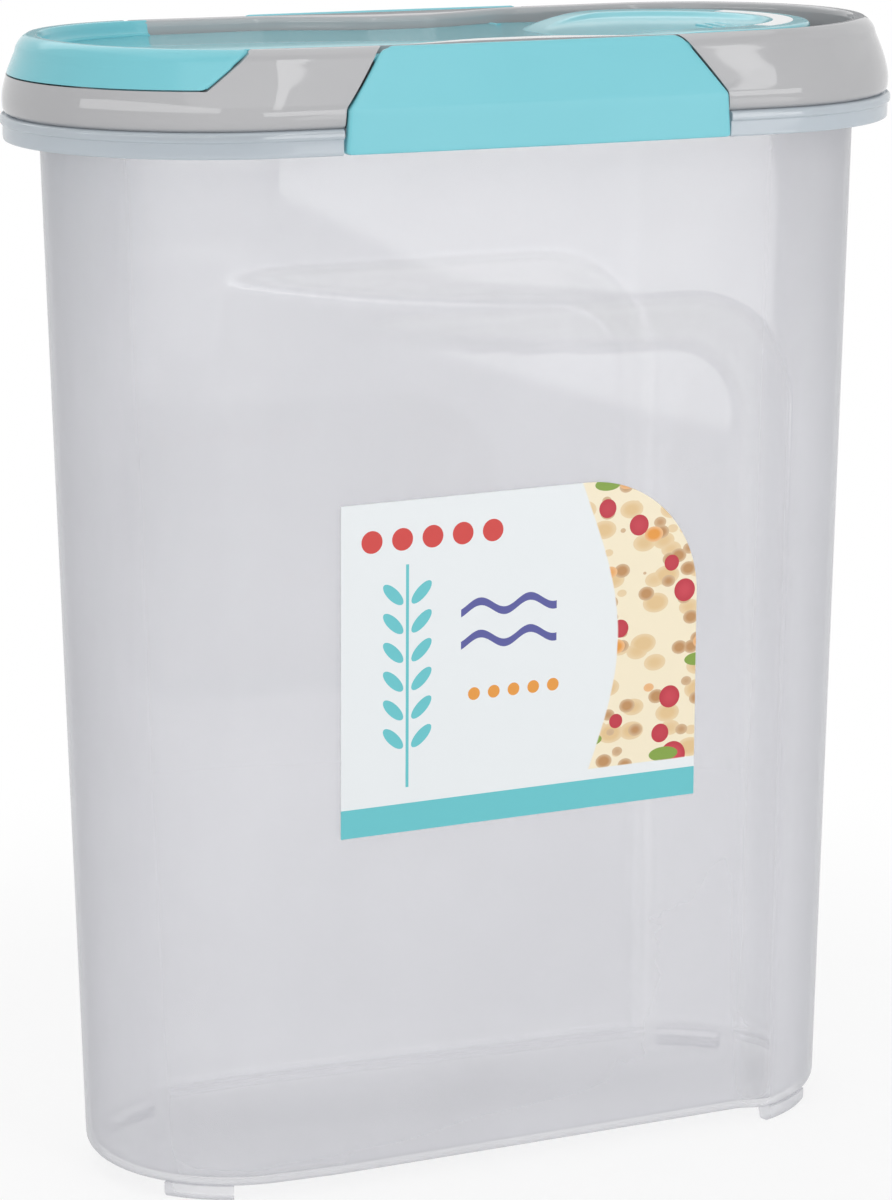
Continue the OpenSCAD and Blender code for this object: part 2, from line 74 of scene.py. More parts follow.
HALF_L, HALF_D = RIM_LEN / 2, RIM_DEP / 2
END_R = HALF_D - SIDE_BOW
END_X = HALF_L - END_R
SIDE_R = (END_X ** 2 + HALF_D ** 2 - END_R ** 2) / (2 * SIDE_BOW)
SIDE_Y = SIDE_R - HALF_D
SIDE_A = math.atan2(SIDE_Y, END_X)
SKIRT_Z, LID_Z, FLOOR_Z = RIM_Z - SKIRT_H, RIM_Z + LID_H, RIM_Z + FLOOR_UP
SPLIT_Z, PANEL_Z, PAD_Z = RIM_Z + SPLIT_UP, LID_Z - PANEL_DOWN, LID_Z - PAD_DOWN
PIN_Y, PIN_Z, CLIP_FOOT_Z = HALF_D - 7.6, LID_Z - 2.8, SKIRT_Z + 0.2
PIVOT_Z, DISH_X = PANEL_Z - PANEL_T - 0.4, PAD_X - 1.7
print("oval ends: radius", round(END_R, 1), "centres at", round(END_X, 1), "mm")

# %% [markdown]
# ## The camera
# The photograph looks down at the front from the left, through a long lens. The place and the
# turn come from lining up the rim, the base and the clips with the picture, so the same points
# fall on the same pixels here.

# %% The photograph's viewpoint
def add_object(name, data):
    obj = bpy.data.objects.new(name, data)
    bpy.context.scene.collection.objects.link(obj)
    return obj


EYE_MM = Vector((-431.87, -1033.63, 407.63))
YAW, PITCH, ROLL = math.radians(22.534), math.radians(12.767), math.radians(-0.139)
level_way = Vector((math.sin(YAW), math.cos(YAW), 0))
forward = level_way * math.cos(PITCH) - Vector((0, 0, math.sin(PITCH)))
right = Vector((math.cos(YAW), -math.sin(YAW), 0))
up = right.cross(forward)
turn = Matrix((right, up, -forward)).transposed().to_4x4() @ Matrix.Rotation(ROLL, 4, "Z")
camera = add_object("camera", bpy.data.cameras.new("camera"))
camera.matrix_world = Matrix.Translation(EYE_MM * MM) @ turn
camera.data.lens, camera.data.sensor_width = 122.36, 36.0
camera.data.clip_end = 20.0
bpy.context.scene.camera = camera
print("camera at", [round(v, 3) for v in camera.matrix_world.translation], "m")

# %% [markdown]
# ## Drawing helpers
# A moulded piece is a section carried round a path, or a stack of outlines. A few short helpers
# draw those: the oval at any inset, a rounded corner, a skin over rings, a plate and a rod.

# %% Outlines and sections
def ease(a, b, v):
    """Smooth step from 0 at a to 1 at b."""
    t = np.clip((np.asarray(v, float) - a) / (b - a), 0, 1)
    return t * t * (3 - 2 * t)


def arc(cx, cy, r, a0, a1, n):
    a = a0 + (a1 - a0) * np.arange(n) / n
    return np.stack([cx + r * np.cos(a), cy + r * np.sin(a)], 1)


def oval(inset, per_end=56, per_side=72):
    """The plan at an inset from the rim: four tangent arcs, counted anticlockwise."""
    return np.concatenate([
        arc(END_X, 0, END_R - inset, -SIDE_A, SIDE_A, per_end),
        arc(0, -SIDE_Y, SIDE_R - inset, SIDE_A, math.pi - SIDE_A, per_side),
        arc(-END_X, 0, END_R - inset, math.pi - SIDE_A, math.pi + SIDE_A, per_end),
        arc(0, SIDE_Y, SIDE_R - inset, math.pi + SIDE_A, 2 * math.pi - SIDE_A, per_side)])


def rounded(points, radii, steps=4, closed=True):
    """A polyline whose corners are replaced by smooth curves that start a radius away."""
    points = np.asarray(points, float)
    radii = [radii] * len(points) if np.isscalar(radii) else radii
    out = []
    for i, (p, r) in enumerate(zip(points, radii)):
        if (not closed and i in (0, len(points) - 1)) or r == 0:
            out.append(p)
            continue
        a, b = points[i - 1] - p, points[(i + 1) % len(points)] - p
        la, lb = np.linalg.norm(a), np.linalg.norm(b)
        cut = min(r, la * 0.49, lb * 0.49)
        start, end = p + a / la * cut, p + b / lb * cut
        for k in range(steps + 1):
            t = k / steps
            out.append((1 - t) ** 2 * start + 2 * t * (1 - t) * p + t * t * end)
    return np.array(out)


def spline(points, steps=4):
    """A smooth open curve through all the points."""
    p = np.asarray(points, float)
    p = np.concatenate([[2 * p[0] - p[1]], p, [2 * p[-1] - p[-2]]])
    out = []
    for i in range(1, len(p) - 2):
        for k in range(steps):
            t = k / steps
            out.append(0.5 * (2 * p[i] + (p[i + 1] - p[i - 1]) * t
                              + (2 * p[i - 1] - 5 * p[i] + 4 * p[i + 1] - p[i + 2]) * t * t
                              + (3 * p[i] - p[i - 1] - 3 * p[i + 1] + p[i + 2]) * t ** 3))
    return np.array(out + [p[-2]])


def refine(points, longest):
    """The same closed polyline with no step longer than a length."""
    out = []
    for p, q in zip(points, np.roll(points, -1, 0)):
        n = max(1, math.ceil(np.linalg.norm(q - p) / longest))
        out += [p + (q - p) * k / n for k in range(n)]
    return np.array(out)


print("the rim is", round(2 * abs(oval(0)[:, 0]).max(), 1), "mm long")

# %% Solids from outlines
def make(name, verts, faces):
    """A mesh object from points in millimetres, with its faces turned outwards."""
    mesh = bpy.data.meshes.new(name)
    mesh.from_pydata([tuple(v) for v in np.asarray(verts, float) * MM], [], faces)
    obj = add_object(name, mesh)
    face_out(obj)
    return obj


def face_out(obj, merge=0.0):
    bm = bmesh.new()
    bm.from_mesh(obj.data)
    if merge:
        bmesh.ops.remove_doubles(bm, verts=bm.verts, dist=merge * MM)
    bmesh.ops.recalc_face_normals(bm, faces=bm.faces)
    bm.to_mesh(obj.data)
    bm.free()


def fill(*loops):
    """Triangles that fill a flat outline, less any holes, as numbers of its points."""
    return tessellate_polygon([[Vector((*p[:2], 0)) for p in loop] for loop in loops])


def skin(name, rings, caps=None):
    """A skin over rings of equally many points. Both ends are filled flat, or with given faces."""
    m, n = len(rings), len(rings[0])
    faces = [(i * n + k, i * n + (k + 1) % n, (i + 1) * n + (k + 1) % n, (i + 1) * n + k)
             for i in range(m - 1) for k in range(n)]
    for i in (0, m - 1):
        faces += [tuple(i * n + v for v in face) for face in caps or fill(rings[i])]
    return make(name, np.concatenate(rings), faces)


def plate(name, outline, holes, z0, z1, axis=2):
    """A flat plate between two levels, with holes. Axis 1 stands it up, facing the front."""
    loops = [np.asarray(loop, float) for loop in [outline, *holes]]
    flat, tris = np.concatenate(loops), fill(*loops)
    n, start = len(flat), 0
    faces = [tuple(t) for t in tris] + [tuple(v + n for v in t[::-1]) for t in tris]
    for k in map(len, loops):
        faces += [(start + i, start + (i + 1) % k, start + (i + 1) % k + n, start + i + n)
                  for i in range(k)]
        start += k
    return make(name, np.concatenate([np.insert(flat, axis, z, axis=1) for z in (z0, z1)]), faces)


def rod(name, r, start, end, sides=32):
    """A round rod between two points."""
    start, end = Vector(start), Vector(end)
    a = (end - start).orthogonal().normalized()
    b = (end - start).normalized().cross(a)
    turns = [2 * math.pi * k / sides for k in range(sides)]
    rings = [[c + (a * math.cos(t) + b * math.sin(t)) * r for t in turns] for c in (start, end)]
    return skin(name, rings, [range(sides)])


def settle(obj):
    """Makes what the modifiers show the object's own mesh."""
    graph = bpy.context.evaluated_depsgraph_get()
    mesh = bpy.data.meshes.new_from_object(obj.evaluated_get(graph), depsgraph=graph)
    obj.modifiers.clear()
    obj.data = mesh
    return obj


def combine(obj, others, how):
    """Joins other solids to a solid, or cuts them out of it, and leaves one mesh."""
    for other in others:
        cut = obj.modifiers.new(how, "BOOLEAN")
        cut.operation, cut.solver, cut.object = how, "MANIFOLD", other
    settle(obj)
    for other in others:
        bpy.data.objects.remove(other)
    return obj


def gather(name, objs):
    """Puts several closed solids of one moulding into one mesh."""
    bm = bmesh.new()
    for obj in objs:
        bm.from_mesh(obj.data)
        bpy.data.objects.remove(obj)
    mesh = bpy.data.meshes.new(name)
    bm.to_mesh(mesh)
    bm.free()
    return add_object(name, mesh)


def finish_piece(obj, material, body, stands_for, sharp=40):
    """Smooths a piece, gives it its finish, and puts it on the body that carries it."""
    obj.data.materials.clear()
    obj.data.materials.append(material)
    obj.data.polygons.foreach_set("use_smooth", [True] * len(obj.data.polygons))
    obj.data.set_sharp_from_angle(angle=math.radians(sharp))
    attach(obj, body)
    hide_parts(stands_for)
    print(obj.name, "has", len(obj.data.polygons), "faces and rides on", body)


# %% [markdown]
# ## Node helpers
# Shader maths reads better as a formula than as a list of links. One small class wraps a socket,
# so that plus, minus, times and the rest add their Math nodes. One method makes any other node:
# its type, its settings, and then what goes into its sockets. The same class serves the
# Geometry Nodes trees further down.

# %% A socket in a formula
class Wire:
    def __init__(self, tree, socket):
        self.tree, self.socket = tree, socket

    def maths(self, operation, *others, first=None):
        n = self.tree.nodes.new("ShaderNodeMath")
        n.operation = operation
        for socket, value in zip(n.inputs, (self if first is None else first, *others)):
            plug(self.tree, socket, value)
        return Wire(self.tree, n.outputs[0])

    def __add__(self, other): return self.maths("ADD", other)
    def __radd__(self, other): return self.maths("ADD", other)
    def __sub__(self, other): return self.maths("SUBTRACT", other)
    def __rsub__(self, other): return self.maths("SUBTRACT", self, first=other)
    def __mul__(self, other): return self.maths("MULTIPLY", other)
    def __rmul__(self, other): return self.maths("MULTIPLY", other)
    def __truediv__(self, other): return self.maths("DIVIDE", other)
    def __pow__(self, other): return self.maths("POWER", other)
    def __neg__(self): return self.maths("MULTIPLY", -1.0)
    def __abs__(self): return self.maths("ABSOLUTE")
    def over(self, other): return self.maths("GREATER_THAN", other)
    def under(self, other): return self.maths("LESS_THAN", other)
    def least(self, other): return self.maths("MINIMUM", other)
    def most(self, other): return self.maths("MAXIMUM", other)
    def sign(self): return self.maths("SIGN")
    def sin(self): return self.maths("SINE")
    def every(self, other): return self.maths("FLOORED_MODULO", other)

    def step(self, a, b):
        """Smooth step from 0 at a to 1 at b."""
        t = ((self - a) / (b - a)).most(0.0).least(1.0)
        return t * t * (3.0 - 2.0 * t)


def plug(tree, socket, value):
    """Links a wire, or sets a plain value."""
    if isinstance(value, Wire):
        tree.links.new(value.socket, socket)
    elif value is not None:
        socket.default_value = value


class Nodes:
    """A node tree to add to. add() takes a type, its settings, and its sockets by name."""
    def __init__(self, tree):
        self.tree = tree

    def add(self, kind, settings=None, out=0, **sockets):
        n = self.tree.nodes.new(kind)
        for key, value in (settings or {}).items():
            setattr(n, key, value)
        for key, value in sockets.items():
            live = [s for s in n.inputs if s.enabled and s.name == key.replace("_", " ")]
            plug(self.tree, live[0], value)
        return Wire(self.tree, n.outputs[out])

    def noise(self, place, scale, detail, roughness):
        return self.add("ShaderNodeTexNoise", Vector=place, Scale=scale, Detail=detail,
                        Roughness=roughness)

    def bump(self, height, strength, depth):
        return self.add("ShaderNodeBump", Strength=strength, Distance=depth, Height=height)

    def mix(self, factor, a, b):
        """One colour over another."""
        n = self.tree.nodes.new("ShaderNodeMix")
        n.data_type = "RGBA"
        for place, value in ((0, factor), (6, a), (7, b)):
            plug(self.tree, n.inputs[place], value)
        return Wire(self.tree, n.outputs[2])

    def share(self, factor, a, b):
        """A share of one surface and the rest of another."""
        whole = self.add("ShaderNodeMixShader", Fac=factor)
        for place, surface in ((1, a), (2, b)):
            plug(self.tree, whole.socket.node.inputs[place], surface)
        return whole

    def split(self, vector):
        n = self.tree.nodes.new("ShaderNodeSeparateXYZ")
        plug(self.tree, n.inputs[0], vector)
        return [Wire(self.tree, out) for out in n.outputs]


def srgb(*levels):
    """A colour as it looks, 0 to 255, as the linear values that shaders take."""
    linear = [(v / 255 / 12.92) if v / 255 <= 0.04045 else ((v / 255 + 0.055) / 1.055) ** 2.4
              for v in levels]
    return (*linear, 1.0)


print("a mid grey of 128 is", round(srgb(128, 128, 128)[0], 3), "in a shader")

# %% [markdown]
# ## Finishes
# Each plastic has its own look. The lid, the clips and the flap are glossy coloured mouldings
# with a faint ripple and a soft flow mark or two. The box is milky polypropylene: it lets some
# light straight through, scatters some, and shines a little. The label is a printed film.

# %% A blank material
def new_material(name):
    """A material with its output and its Object coordinates in metres."""
    material = bpy.data.materials.new(name)
    material.use_nodes = True
    tree = material.node_tree
    tree.nodes.clear()
    nodes = Nodes(tree)
    place = nodes.add("ShaderNodeTexCoord", out="Object")
    return material, nodes, place


def show(nodes, surface, kind="ShaderNodeOutputMaterial"):
    output = nodes.tree.nodes.new(kind)
    nodes.tree.links.new(surface.socket, output.inputs["Surface"])


# %% Glossy coloured moulding
POLYPROPYLENE_IOR = 1.49


def glossy_plastic(name, colour, deep, rough, ripple=0.06):
    """Moulded plastic: a colour that shifts a little, a polished skin and a faint long ripple."""
    material, nodes, place = new_material(name)
    flow = nodes.noise(place, 14.0, 3.0, 0.5)
    grain = nodes.noise(place, 900.0, 2.0, 0.6)
    wear = nodes.noise(place, 60.0, 5.0, 0.65)
    wave = nodes.noise(place, 32.0, 1.0, 0.4)
    show(nodes, nodes.add(
        "ShaderNodeBsdfPrincipled", IOR=POLYPROPYLENE_IOR,
        Base_Color=nodes.mix(flow.step(0.35, 0.65), deep, colour),
        Roughness=rough + (wear - 0.5).most(0.0) * 0.05 + grain * 0.015,
        Normal=nodes.bump(wave + grain * 0.02, ripple, 0.0008)))
    return material


greys = srgb(178, 178, 180), srgb(175, 175, 177)
aquas = srgb(119, 198, 209), srgb(115, 195, 206)
grey_plastic = glossy_plastic("grey_moulding", *greys, 0.025, 0.02)
aqua_plastic = glossy_plastic("aqua_moulding", *aquas, 0.3)
flap_plastic = glossy_plastic("flap_moulding", *aquas, 0.14, 0.02)
print("glossy finishes:", grey_plastic.name, aqua_plastic.name, flap_plastic.name)

# %% [markdown]
# The box is thin, so light meets it in three ways at once: a plain see-through share, a milky
# share that glows with the light behind it, and a thin clear gloss over both. The see-through
# share falls where the wall is seen edge on. Two values stored on the mesh also move it: one
# marks the rim and the grip's bend, and the other marks the base. The milk is bluer at the rim.
# In the grip's bend it is painted lighter and made clearer, as a painted highlight. Where the
# wall is seen edge on it is painted darker, as painted shade. Fine haze varies the skin.

# %% Milky see-through plastic
def milky_plastic(name, clear=0.85, edge_clear=0.12, glow=0.5):
    material, nodes, place = new_material(name)
    haze = nodes.noise(place, 22.0, 4.0, 0.55)
    bump = nodes.bump(haze, 0.03, 0.0006)
    rim_and_lit_bend = nodes.add("ShaderNodeAttribute", {"attribute_name": "rim_and_lit_bend"}, out="Fac")
    base = nodes.add("ShaderNodeAttribute", {"attribute_name": "base"}, out="Fac")
    rim, bend = (rim_and_lit_bend - 1.0).most(0.0), rim_and_lit_bend.least(1.0)
    facing = nodes.add("ShaderNodeLayerWeight", out="Facing", Blend=0.5)
    milk = nodes.mix(haze.step(0.3, 0.7), srgb(234, 234, 237), srgb(239, 239, 242))
    # painted highlight: the milk is lighter in the grip's bend
    milk = nodes.mix(bend, milk, srgb(248, 248, 249))
    # painted shade: the milk is darker where the wall is seen edge on
    milk = nodes.mix(facing.step(0.35, 0.95), milk, srgb(206, 207, 211))
    milk = nodes.mix(rim, milk, srgb(208, 217, 224))
    lit = nodes.add("ShaderNodeBsdfPrincipled", Base_Color=milk, IOR=POLYPROPYLENE_IOR,
                    Roughness=0.11 + haze * 0.05, Normal=bump)
    through = nodes.add("ShaderNodeBsdfTranslucent", Color=milk, Normal=bump)
    body = nodes.share(glow * (1.0 - 0.45 * rim), lit, through)
    window = nodes.add("ShaderNodeBsdfTransparent", Color=srgb(250, 250, 251))
    # the grip's bend is also made clearer than the wall round it, which lightens it as part of its
    # painted highlight
    open_share = clear - 0.85 * facing + 0.22 * (bend - rim) - 0.55 * rim
    open_share = open_share.most(edge_clear + 0.65 * base) + (haze - 0.5) * 0.05
    gloss = nodes.add("ShaderNodeBsdfGlossy", Color=(1, 1, 1, 1), Roughness=0.05, Normal=bump)
    wall = nodes.share(open_share, body, window)
    show(nodes, nodes.share(0.04 + 0.25 * facing ** 5.0, wall, gloss))
    return material


clear_plastic = milky_plastic("milky_moulding")
print("the box lets light through:", clear_plastic.name)

# %% Soft seal and blank sticker
def fine_skin(name, grain, strength, depth, rough, spread, dark, light):
    """A matt skin: one fine noise moves its colour, its sheen and its height."""
    material, nodes, place = new_material(name)
    fine = nodes.noise(place, *grain)
    show(nodes, nodes.add(
        "ShaderNodeBsdfPrincipled", Base_Color=nodes.mix(fine, dark, light),
        Roughness=rough + fine * spread, Normal=nodes.bump(fine, strength, depth)))
    return material


seal_rubber = fine_skin("silicone", (300.0, 4.0, 0.6), 0.2, 0.0002, 0.45, 0.2,
                        srgb(226, 228, 230), srgb(236, 237, 238))
sticker_paper = fine_skin("sticker_paper", (1200.0, 4.0, 0.7), 0.15, 0.0001, 0.42, 0.15,
                          srgb(232, 233, 234), srgb(243, 243, 243))
print("matt finishes:", seal_rubber.name, sticker_paper.name)

# %% [markdown]
# The label is a film printed with a plain design of its own: a white field with a leafed stem,
# two waves and two rows of dots, a teal foot band, and a corner panel scattered with flakes,
# berries and leaves in warm colours. The pattern is worked out from the height and the length
# along the box, so it stays put in every view.

# %% Printed label
def printed_label(name):
    material, nodes, place = new_material(name)
    x, _, z = nodes.split(place)
    x, z = x / MM, z / MM
    teal, orange, cream = srgb(100, 192, 199), srgb(226, 150, 58), srgb(240, 228, 200)

    def specks(scale, turn, stretch):
        """Distance to the nearest of many scattered points."""
        moved = nodes.add("ShaderNodeMapping", {"vector_type": "POINT"}, Vector=place,
                          Rotation=(0, turn, 0), Scale=(scale * stretch, 0.0, scale))
        return nodes.add("ShaderNodeTexVoronoi", {"feature": "F1", "voronoi_dimensions": "3D"},
                         out="Distance", Vector=moved, Scale=1.0, Randomness=0.85)

    edge = 22.0 + 9.0 * ((z - 112.0) / 24.0).sin()
    panel = (x - edge).step(-0.3, 0.3) * (z - 112.5).step(-0.2, 0.2)
    colour = nodes.mix(panel, srgb(229, 233, 235), cream)
    for scale, turn, stretch, size, flake in ((150.0, 0.5, 0.7, 0.42, srgb(222, 190, 140)),
                                              (170.0, 1.9, 0.8, 0.34, srgb(186, 138, 88)),
                                              (120.0, 2.6, 0.75, 0.26, orange)):
        near = specks(scale, turn, stretch)
        shade = (near / size).step(0.5, 1.0) * 0.35
        colour = nodes.mix(near.under(size) * panel, colour, nodes.mix(shade, flake, cream))
    near = specks(78.0, 0.9, 1.0)
    berry = nodes.mix(near.step(0.1, 0.33), srgb(208, 70, 84), srgb(186, 44, 62))
    colour = nodes.mix(near.under(0.33) * panel, colour, berry)
    colour = nodes.mix(specks(95.0, 2.2, 0.45).under(0.2) * panel, colour, srgb(128, 158, 62))

    stem_x, leaf_z, pitch = -33.0, 124.0, 8.0
    across = abs(x - stem_x)
    u, v = across - 4.2, (z - leaf_z).every(pitch) - pitch / 2
    leaf = (((u + v) / 5.6) ** 2.0 + ((v - u) / 2.3) ** 2.0).under(1.0)
    leaf = leaf * z.over(leaf_z) * z.under(172.0)
    stem = across.under(0.45) * z.over(114.0) * z.under(176.0)
    colour = nodes.mix(leaf.most(stem), colour, teal)
    for height in (162.0, 153.0):
        wave = abs(z - (height + 1.6 * (x * 0.42).sin())).under(1.1) * x.over(-17.0) * x.under(12.0)
        colour = nodes.mix(wave, colour, srgb(82, 84, 152))
    for start, end, pitch, height, reach, ink in ((-48.0, -3.0, 9.0, 183.0, 9.6, srgb(204, 62, 58)),
                                                  (-16.0, 14.0, 6.0, 138.0, 3.2, orange)):
        dot = ((x - start).every(pitch) - pitch / 2) ** 2.0 + (z - height) ** 2.0
        colour = nodes.mix(dot.under(reach) * x.over(start) * x.under(end), colour, ink)
    colour = nodes.mix(z.under(109.5), colour, teal)
    grain = nodes.noise(place, 700.0, 3.0, 0.6)
    show(nodes, nodes.add("ShaderNodeBsdfPrincipled", Base_Color=colour,
                          Normal=nodes.bump(grain, 0.06, 0.0002), Roughness=0.34 + grain * 0.08))
    return material


label_film = printed_label("label_print")
print("print:", label_film.name)

# %% [markdown]
# ## The box
# The box is one moulding: a tapering oval wall, pinched on both long sides towards the rear so
# that a hand can hold it, with a rounded base edge and a flanged rim. A skin over level rings
# draws it. The pinch is a depth that grows from nothing at the recess's outline to its full
# value inside; a rounded minimum and maximum give the shoulder its soft edges.

# %% The pinched wall
def rounded_min(a, b, k):
    h = np.maximum(k - np.abs(a - b), 0) / k
    return np.minimum(a, b) - h * h * k / 4


def grip(x, z):
    """Depth of the hand grip at a place on a long wall."""
    u, w = x - GRIP_REAR + GRIP_R, z - GRIP_TOP + GRIP_R
    edge = np.minimum(GRIP_REAR - x, GRIP_TOP - z)
    corner = np.where((u > 0) & (w > 0), GRIP_R - np.hypot(u, w), edge)
    t = np.clip((x - GRIP_FRONT) / (GRIP_REAR - GRIP_BAND - GRIP_FRONT), 0, 1)
    full = (GRIP_FOOT + (GRIP_DEEP - GRIP_FOOT) * z / GRIP_TOP) * t * (2 - t)
    slope = corner * GRIP_DEEP / GRIP_BAND
    rise = -rounded_min(-slope, np.zeros_like(slope), GRIP_SOFT)
    return np.maximum(rounded_min(full, rise, GRIP_SOFT), 0) * (full > 0)


def wall_at(z):
    return WALL_IN + DRAFT * (1 - z / RIM_Z)


def level(z, inset, pinched=True):
    """One ring of the box at a height and an inset from the rim."""
    p = oval(inset)
    if pinched:
        depth = grip(p[:, 0], z) * ease(0, END_R / 2, np.abs(p[:, 1]))
        p = np.stack([p[:, 0], p[:, 1] - np.sign(p[:, 1]) * depth], 1)
    return np.concatenate([p, np.full((len(p), 1), z)], 1)


def wall_levels():
    return np.concatenate([np.arange(20, 180, 10), np.arange(180, GRIP_TOP + 4, 1.6),
                           [252, 262, 272, 282]])


def box_shell():
    """Rings up the outside, round the rim, down the inside and over the floor."""
    rings = []
    for a in np.radians(np.arange(0, 91, 15)):
        z = FOOT_H + BASE_R * (1 - math.cos(a))
        rings.append(level(z, wall_at(z) + BASE_R * (1 - math.sin(a))))
    rings += [level(z, wall_at(z)) for z in wall_levels()]
    rim, neck = wall_at(RIM_Z), RIM_Z - 7.5
    profile = rounded([
        [wall_at(neck), neck], [rim, RIM_Z - FLANGE_T], [FLANGE_T, RIM_Z - FLANGE_T],
        [FLANGE_T, SKIRT_Z], [0.9, SKIRT_Z], [0.75, SKIRT_Z + 0.8], [0.75, RIM_Z - 2.7],
        [0.1, RIM_Z - 2.4], [0, RIM_Z - 1.9], [0.1, RIM_Z - 0.5], [1.0, RIM_Z],
        [rim + WALL_T - 0.3, RIM_Z], [rim + WALL_T, RIM_Z - 1.2]],
        [0, 1.4, 0.7, 0.5, 0.7, 0.4, 0.3, 0.4, 0.3, 0.5, 0.6, 0.8, 0], closed=False)
    rings += [level(z, inset, False) for inset, z in profile]
    rings += [level(z, wall_at(z) + WALL_T) for z in wall_levels()[::-1]]
    for above, further in ((6, 0), (3, 0), (1.4, 0.5), (0.4, 1.4), (0, 2.8)):
        z = FOOT_H + BASE_T + above
        rings.append(level(z, wall_at(z) + WALL_T + further))
    return skin("box", rings)


box = box_shell()
print("the wall has", len(box.data.vertices), "points")

# %% [markdown]
# The feet repeat: four short curved ribs under the base's corners. A Geometry Nodes tree places
# one rib four times, and Realize Instances makes real geometry of it. The rib is the same about
# its middle, so the mirrored places are plain turns.

# %% Running a node tree
def tree_with(name, inputs):
    """An empty Geometry Nodes tree with named inputs, and the wires that carry them."""
    tree = bpy.data.node_groups.new(name, "GeometryNodeTree")
    tree.interface.new_socket("Geometry", in_out="OUTPUT", socket_type="NodeSocketGeometry")
    for label, kind in inputs.items():
        tree.interface.new_socket(label, in_out="INPUT", socket_type="NodeSocket" + kind)
    group = tree.nodes.new("NodeGroupInput")
    return Nodes(tree), {o.name: Wire(tree, o) for o in group.outputs if o.name}


def end_tree(nodes, shape):
    """Realize Instances and Set Material, so that the export keeps every piece."""
    real = nodes.add("GeometryNodeRealizeInstances", Geometry=shape)
    made = nodes.add("GeometryNodeSetMaterial", Geometry=real)
    out = nodes.tree.nodes.new("NodeGroupOutput")
    nodes.tree.links.new(made.socket, out.inputs[0])
    return nodes.tree


def grow(name, tree, values):
    """Runs a tree on an empty mesh with its inputs set, and keeps the result as a plain mesh."""
    obj = add_object(name, bpy.data.meshes.new(name))
    mod = obj.modifiers.new(name, "NODES")
    mod.node_group = tree
    for item in tree.interface.items_tree:
        if item.in_out == "INPUT":
            mod[item.identifier] = values[item.name]
    settle(obj)
    face_out(obj, merge=0.002)
    return obj


def line(name, points):
    """A closed flat path through points in millimetres, to sweep a section along."""
    curve = bpy.data.curves.new(name, "CURVE")
    curve.dimensions = "3D"
    track = curve.splines.new("POLY")
    track.points.add(len(points) - 1)
    for point, place in zip(track.points, points):
        point.co = (place[0] * MM, place[1] * MM, 0, 1)
    track.use_cyclic_u = True
    return add_object(name, curve)


# %% Four feet
def foot_rib():
    """One rib, bent round its own centre and pointing along +X."""
    r = END_R - WALL_IN - DRAFT
    section = rounded([[r - FOOT_W, FOOT_H + 0.5], [r - FOOT_W + 0.8, 0], [r - 2.0, 0],
                       [r - 1, 1.4], [r - 1, FOOT_H + 0.5]], [0, 0.9, 1.2, 0.8, 0])
    rings = [[[s[0] * math.cos(a), s[0] * math.sin(a), s[1]] for s in section]
             for a in np.radians(np.linspace(-14, 14, 25))]
    return skin("foot_rib", rings, [range(len(section))])


def feet_tree():
    nodes, given = tree_with("four_feet", {"Rib": "Object", "Centre": "Float", "Turn": "Float"})
    index = nodes.add("GeometryNodeInputIndex")
    side = 1.0 - 2.0 * (index.over(0.5) * index.under(2.5))
    place = nodes.add("ShaderNodeCombineXYZ", X=side * given["Centre"])
    points = nodes.add("GeometryNodePoints", Count=4, Position=place)
    half = index.over(1.5) * math.pi
    odd = index - 2.0 * index.over(1.5)
    angle = given["Turn"] + half + odd * (math.pi - 2.0 * given["Turn"])
    spin = nodes.add("ShaderNodeCombineXYZ", Z=angle)
    rib = nodes.add("GeometryNodeObjectInfo", out="Geometry", Object=given["Rib"])
    feet = nodes.add("GeometryNodeInstanceOnPoints", Points=points, Instance=rib, Rotation=spin)
    return end_tree(nodes, feet)


rib = foot_rib()
feet = grow("feet", feet_tree(), {"Rib": rib, "Centre": END_X * MM, "Turn": math.radians(56)})
bpy.data.objects.remove(rib)


def block(name, x0, x1, y0, y1, z0, z1):
    return plate(name, [[x0, y0], [x1, y0], [x1, y1], [x0, y1]], [], z0, z1)


notch, notch_y = CLIP_W / 2 + CLIP_GAP, HALF_D - NOTCH_IN
combine(box, [feet], "UNION")
combine(box, [block("notch", -notch, notch, side * notch_y, side * (notch_y + 10), SKIRT_Z - 1,
                    RIM_Z + 1) for side in (-1, 1)], "DIFFERENCE")


def mark_wall(obj, near=0.5):
    """Stores the rim (2) and the grip's bend, where a painted highlight goes (1), and the base."""
    x, y, z = (np.array([v.co for v in obj.data.vertices]) / MM).T
    across = grip(x + near, z) - grip(x - near, z)
    upright = grip(x, z + near) - grip(x, z - near)
    bend = ease(0.12, 0.5, np.hypot(across, upright) / (2 * near)) * (np.abs(y) > END_R / 2)
    base = np.isclose(z, FOOT_H, atol=0.01) | np.isclose(z, FOOT_H + BASE_T, atol=0.01)
    rim_and_lit_bend = bend + 2.0 * (z > SKIRT_Z - 0.5)
    for label, values in (("rim_and_lit_bend", rim_and_lit_bend), ("base", base.astype(float))):
        obj.data.attributes.new(label, "FLOAT", "POINT").data.foreach_set("value", values)


mark_wall(box)
finish_piece(box, clear_plastic, "container", "container", sharp=35)

# %% [markdown]
# ## The label
# A film that lies on the wall follows its bow and its pinch exactly, so it is drawn as a fine
# sheet over the wall's own formula and stands a hair's breadth off it. Its upper rear corner is
# one large curve and the other corners are square.

# %% The label sheet
def wall_y(x, z, out):
    inset = wall_at(z) - out
    return -(np.sqrt((SIDE_R - inset) ** 2 - x * x) - SIDE_Y - grip(x, z))


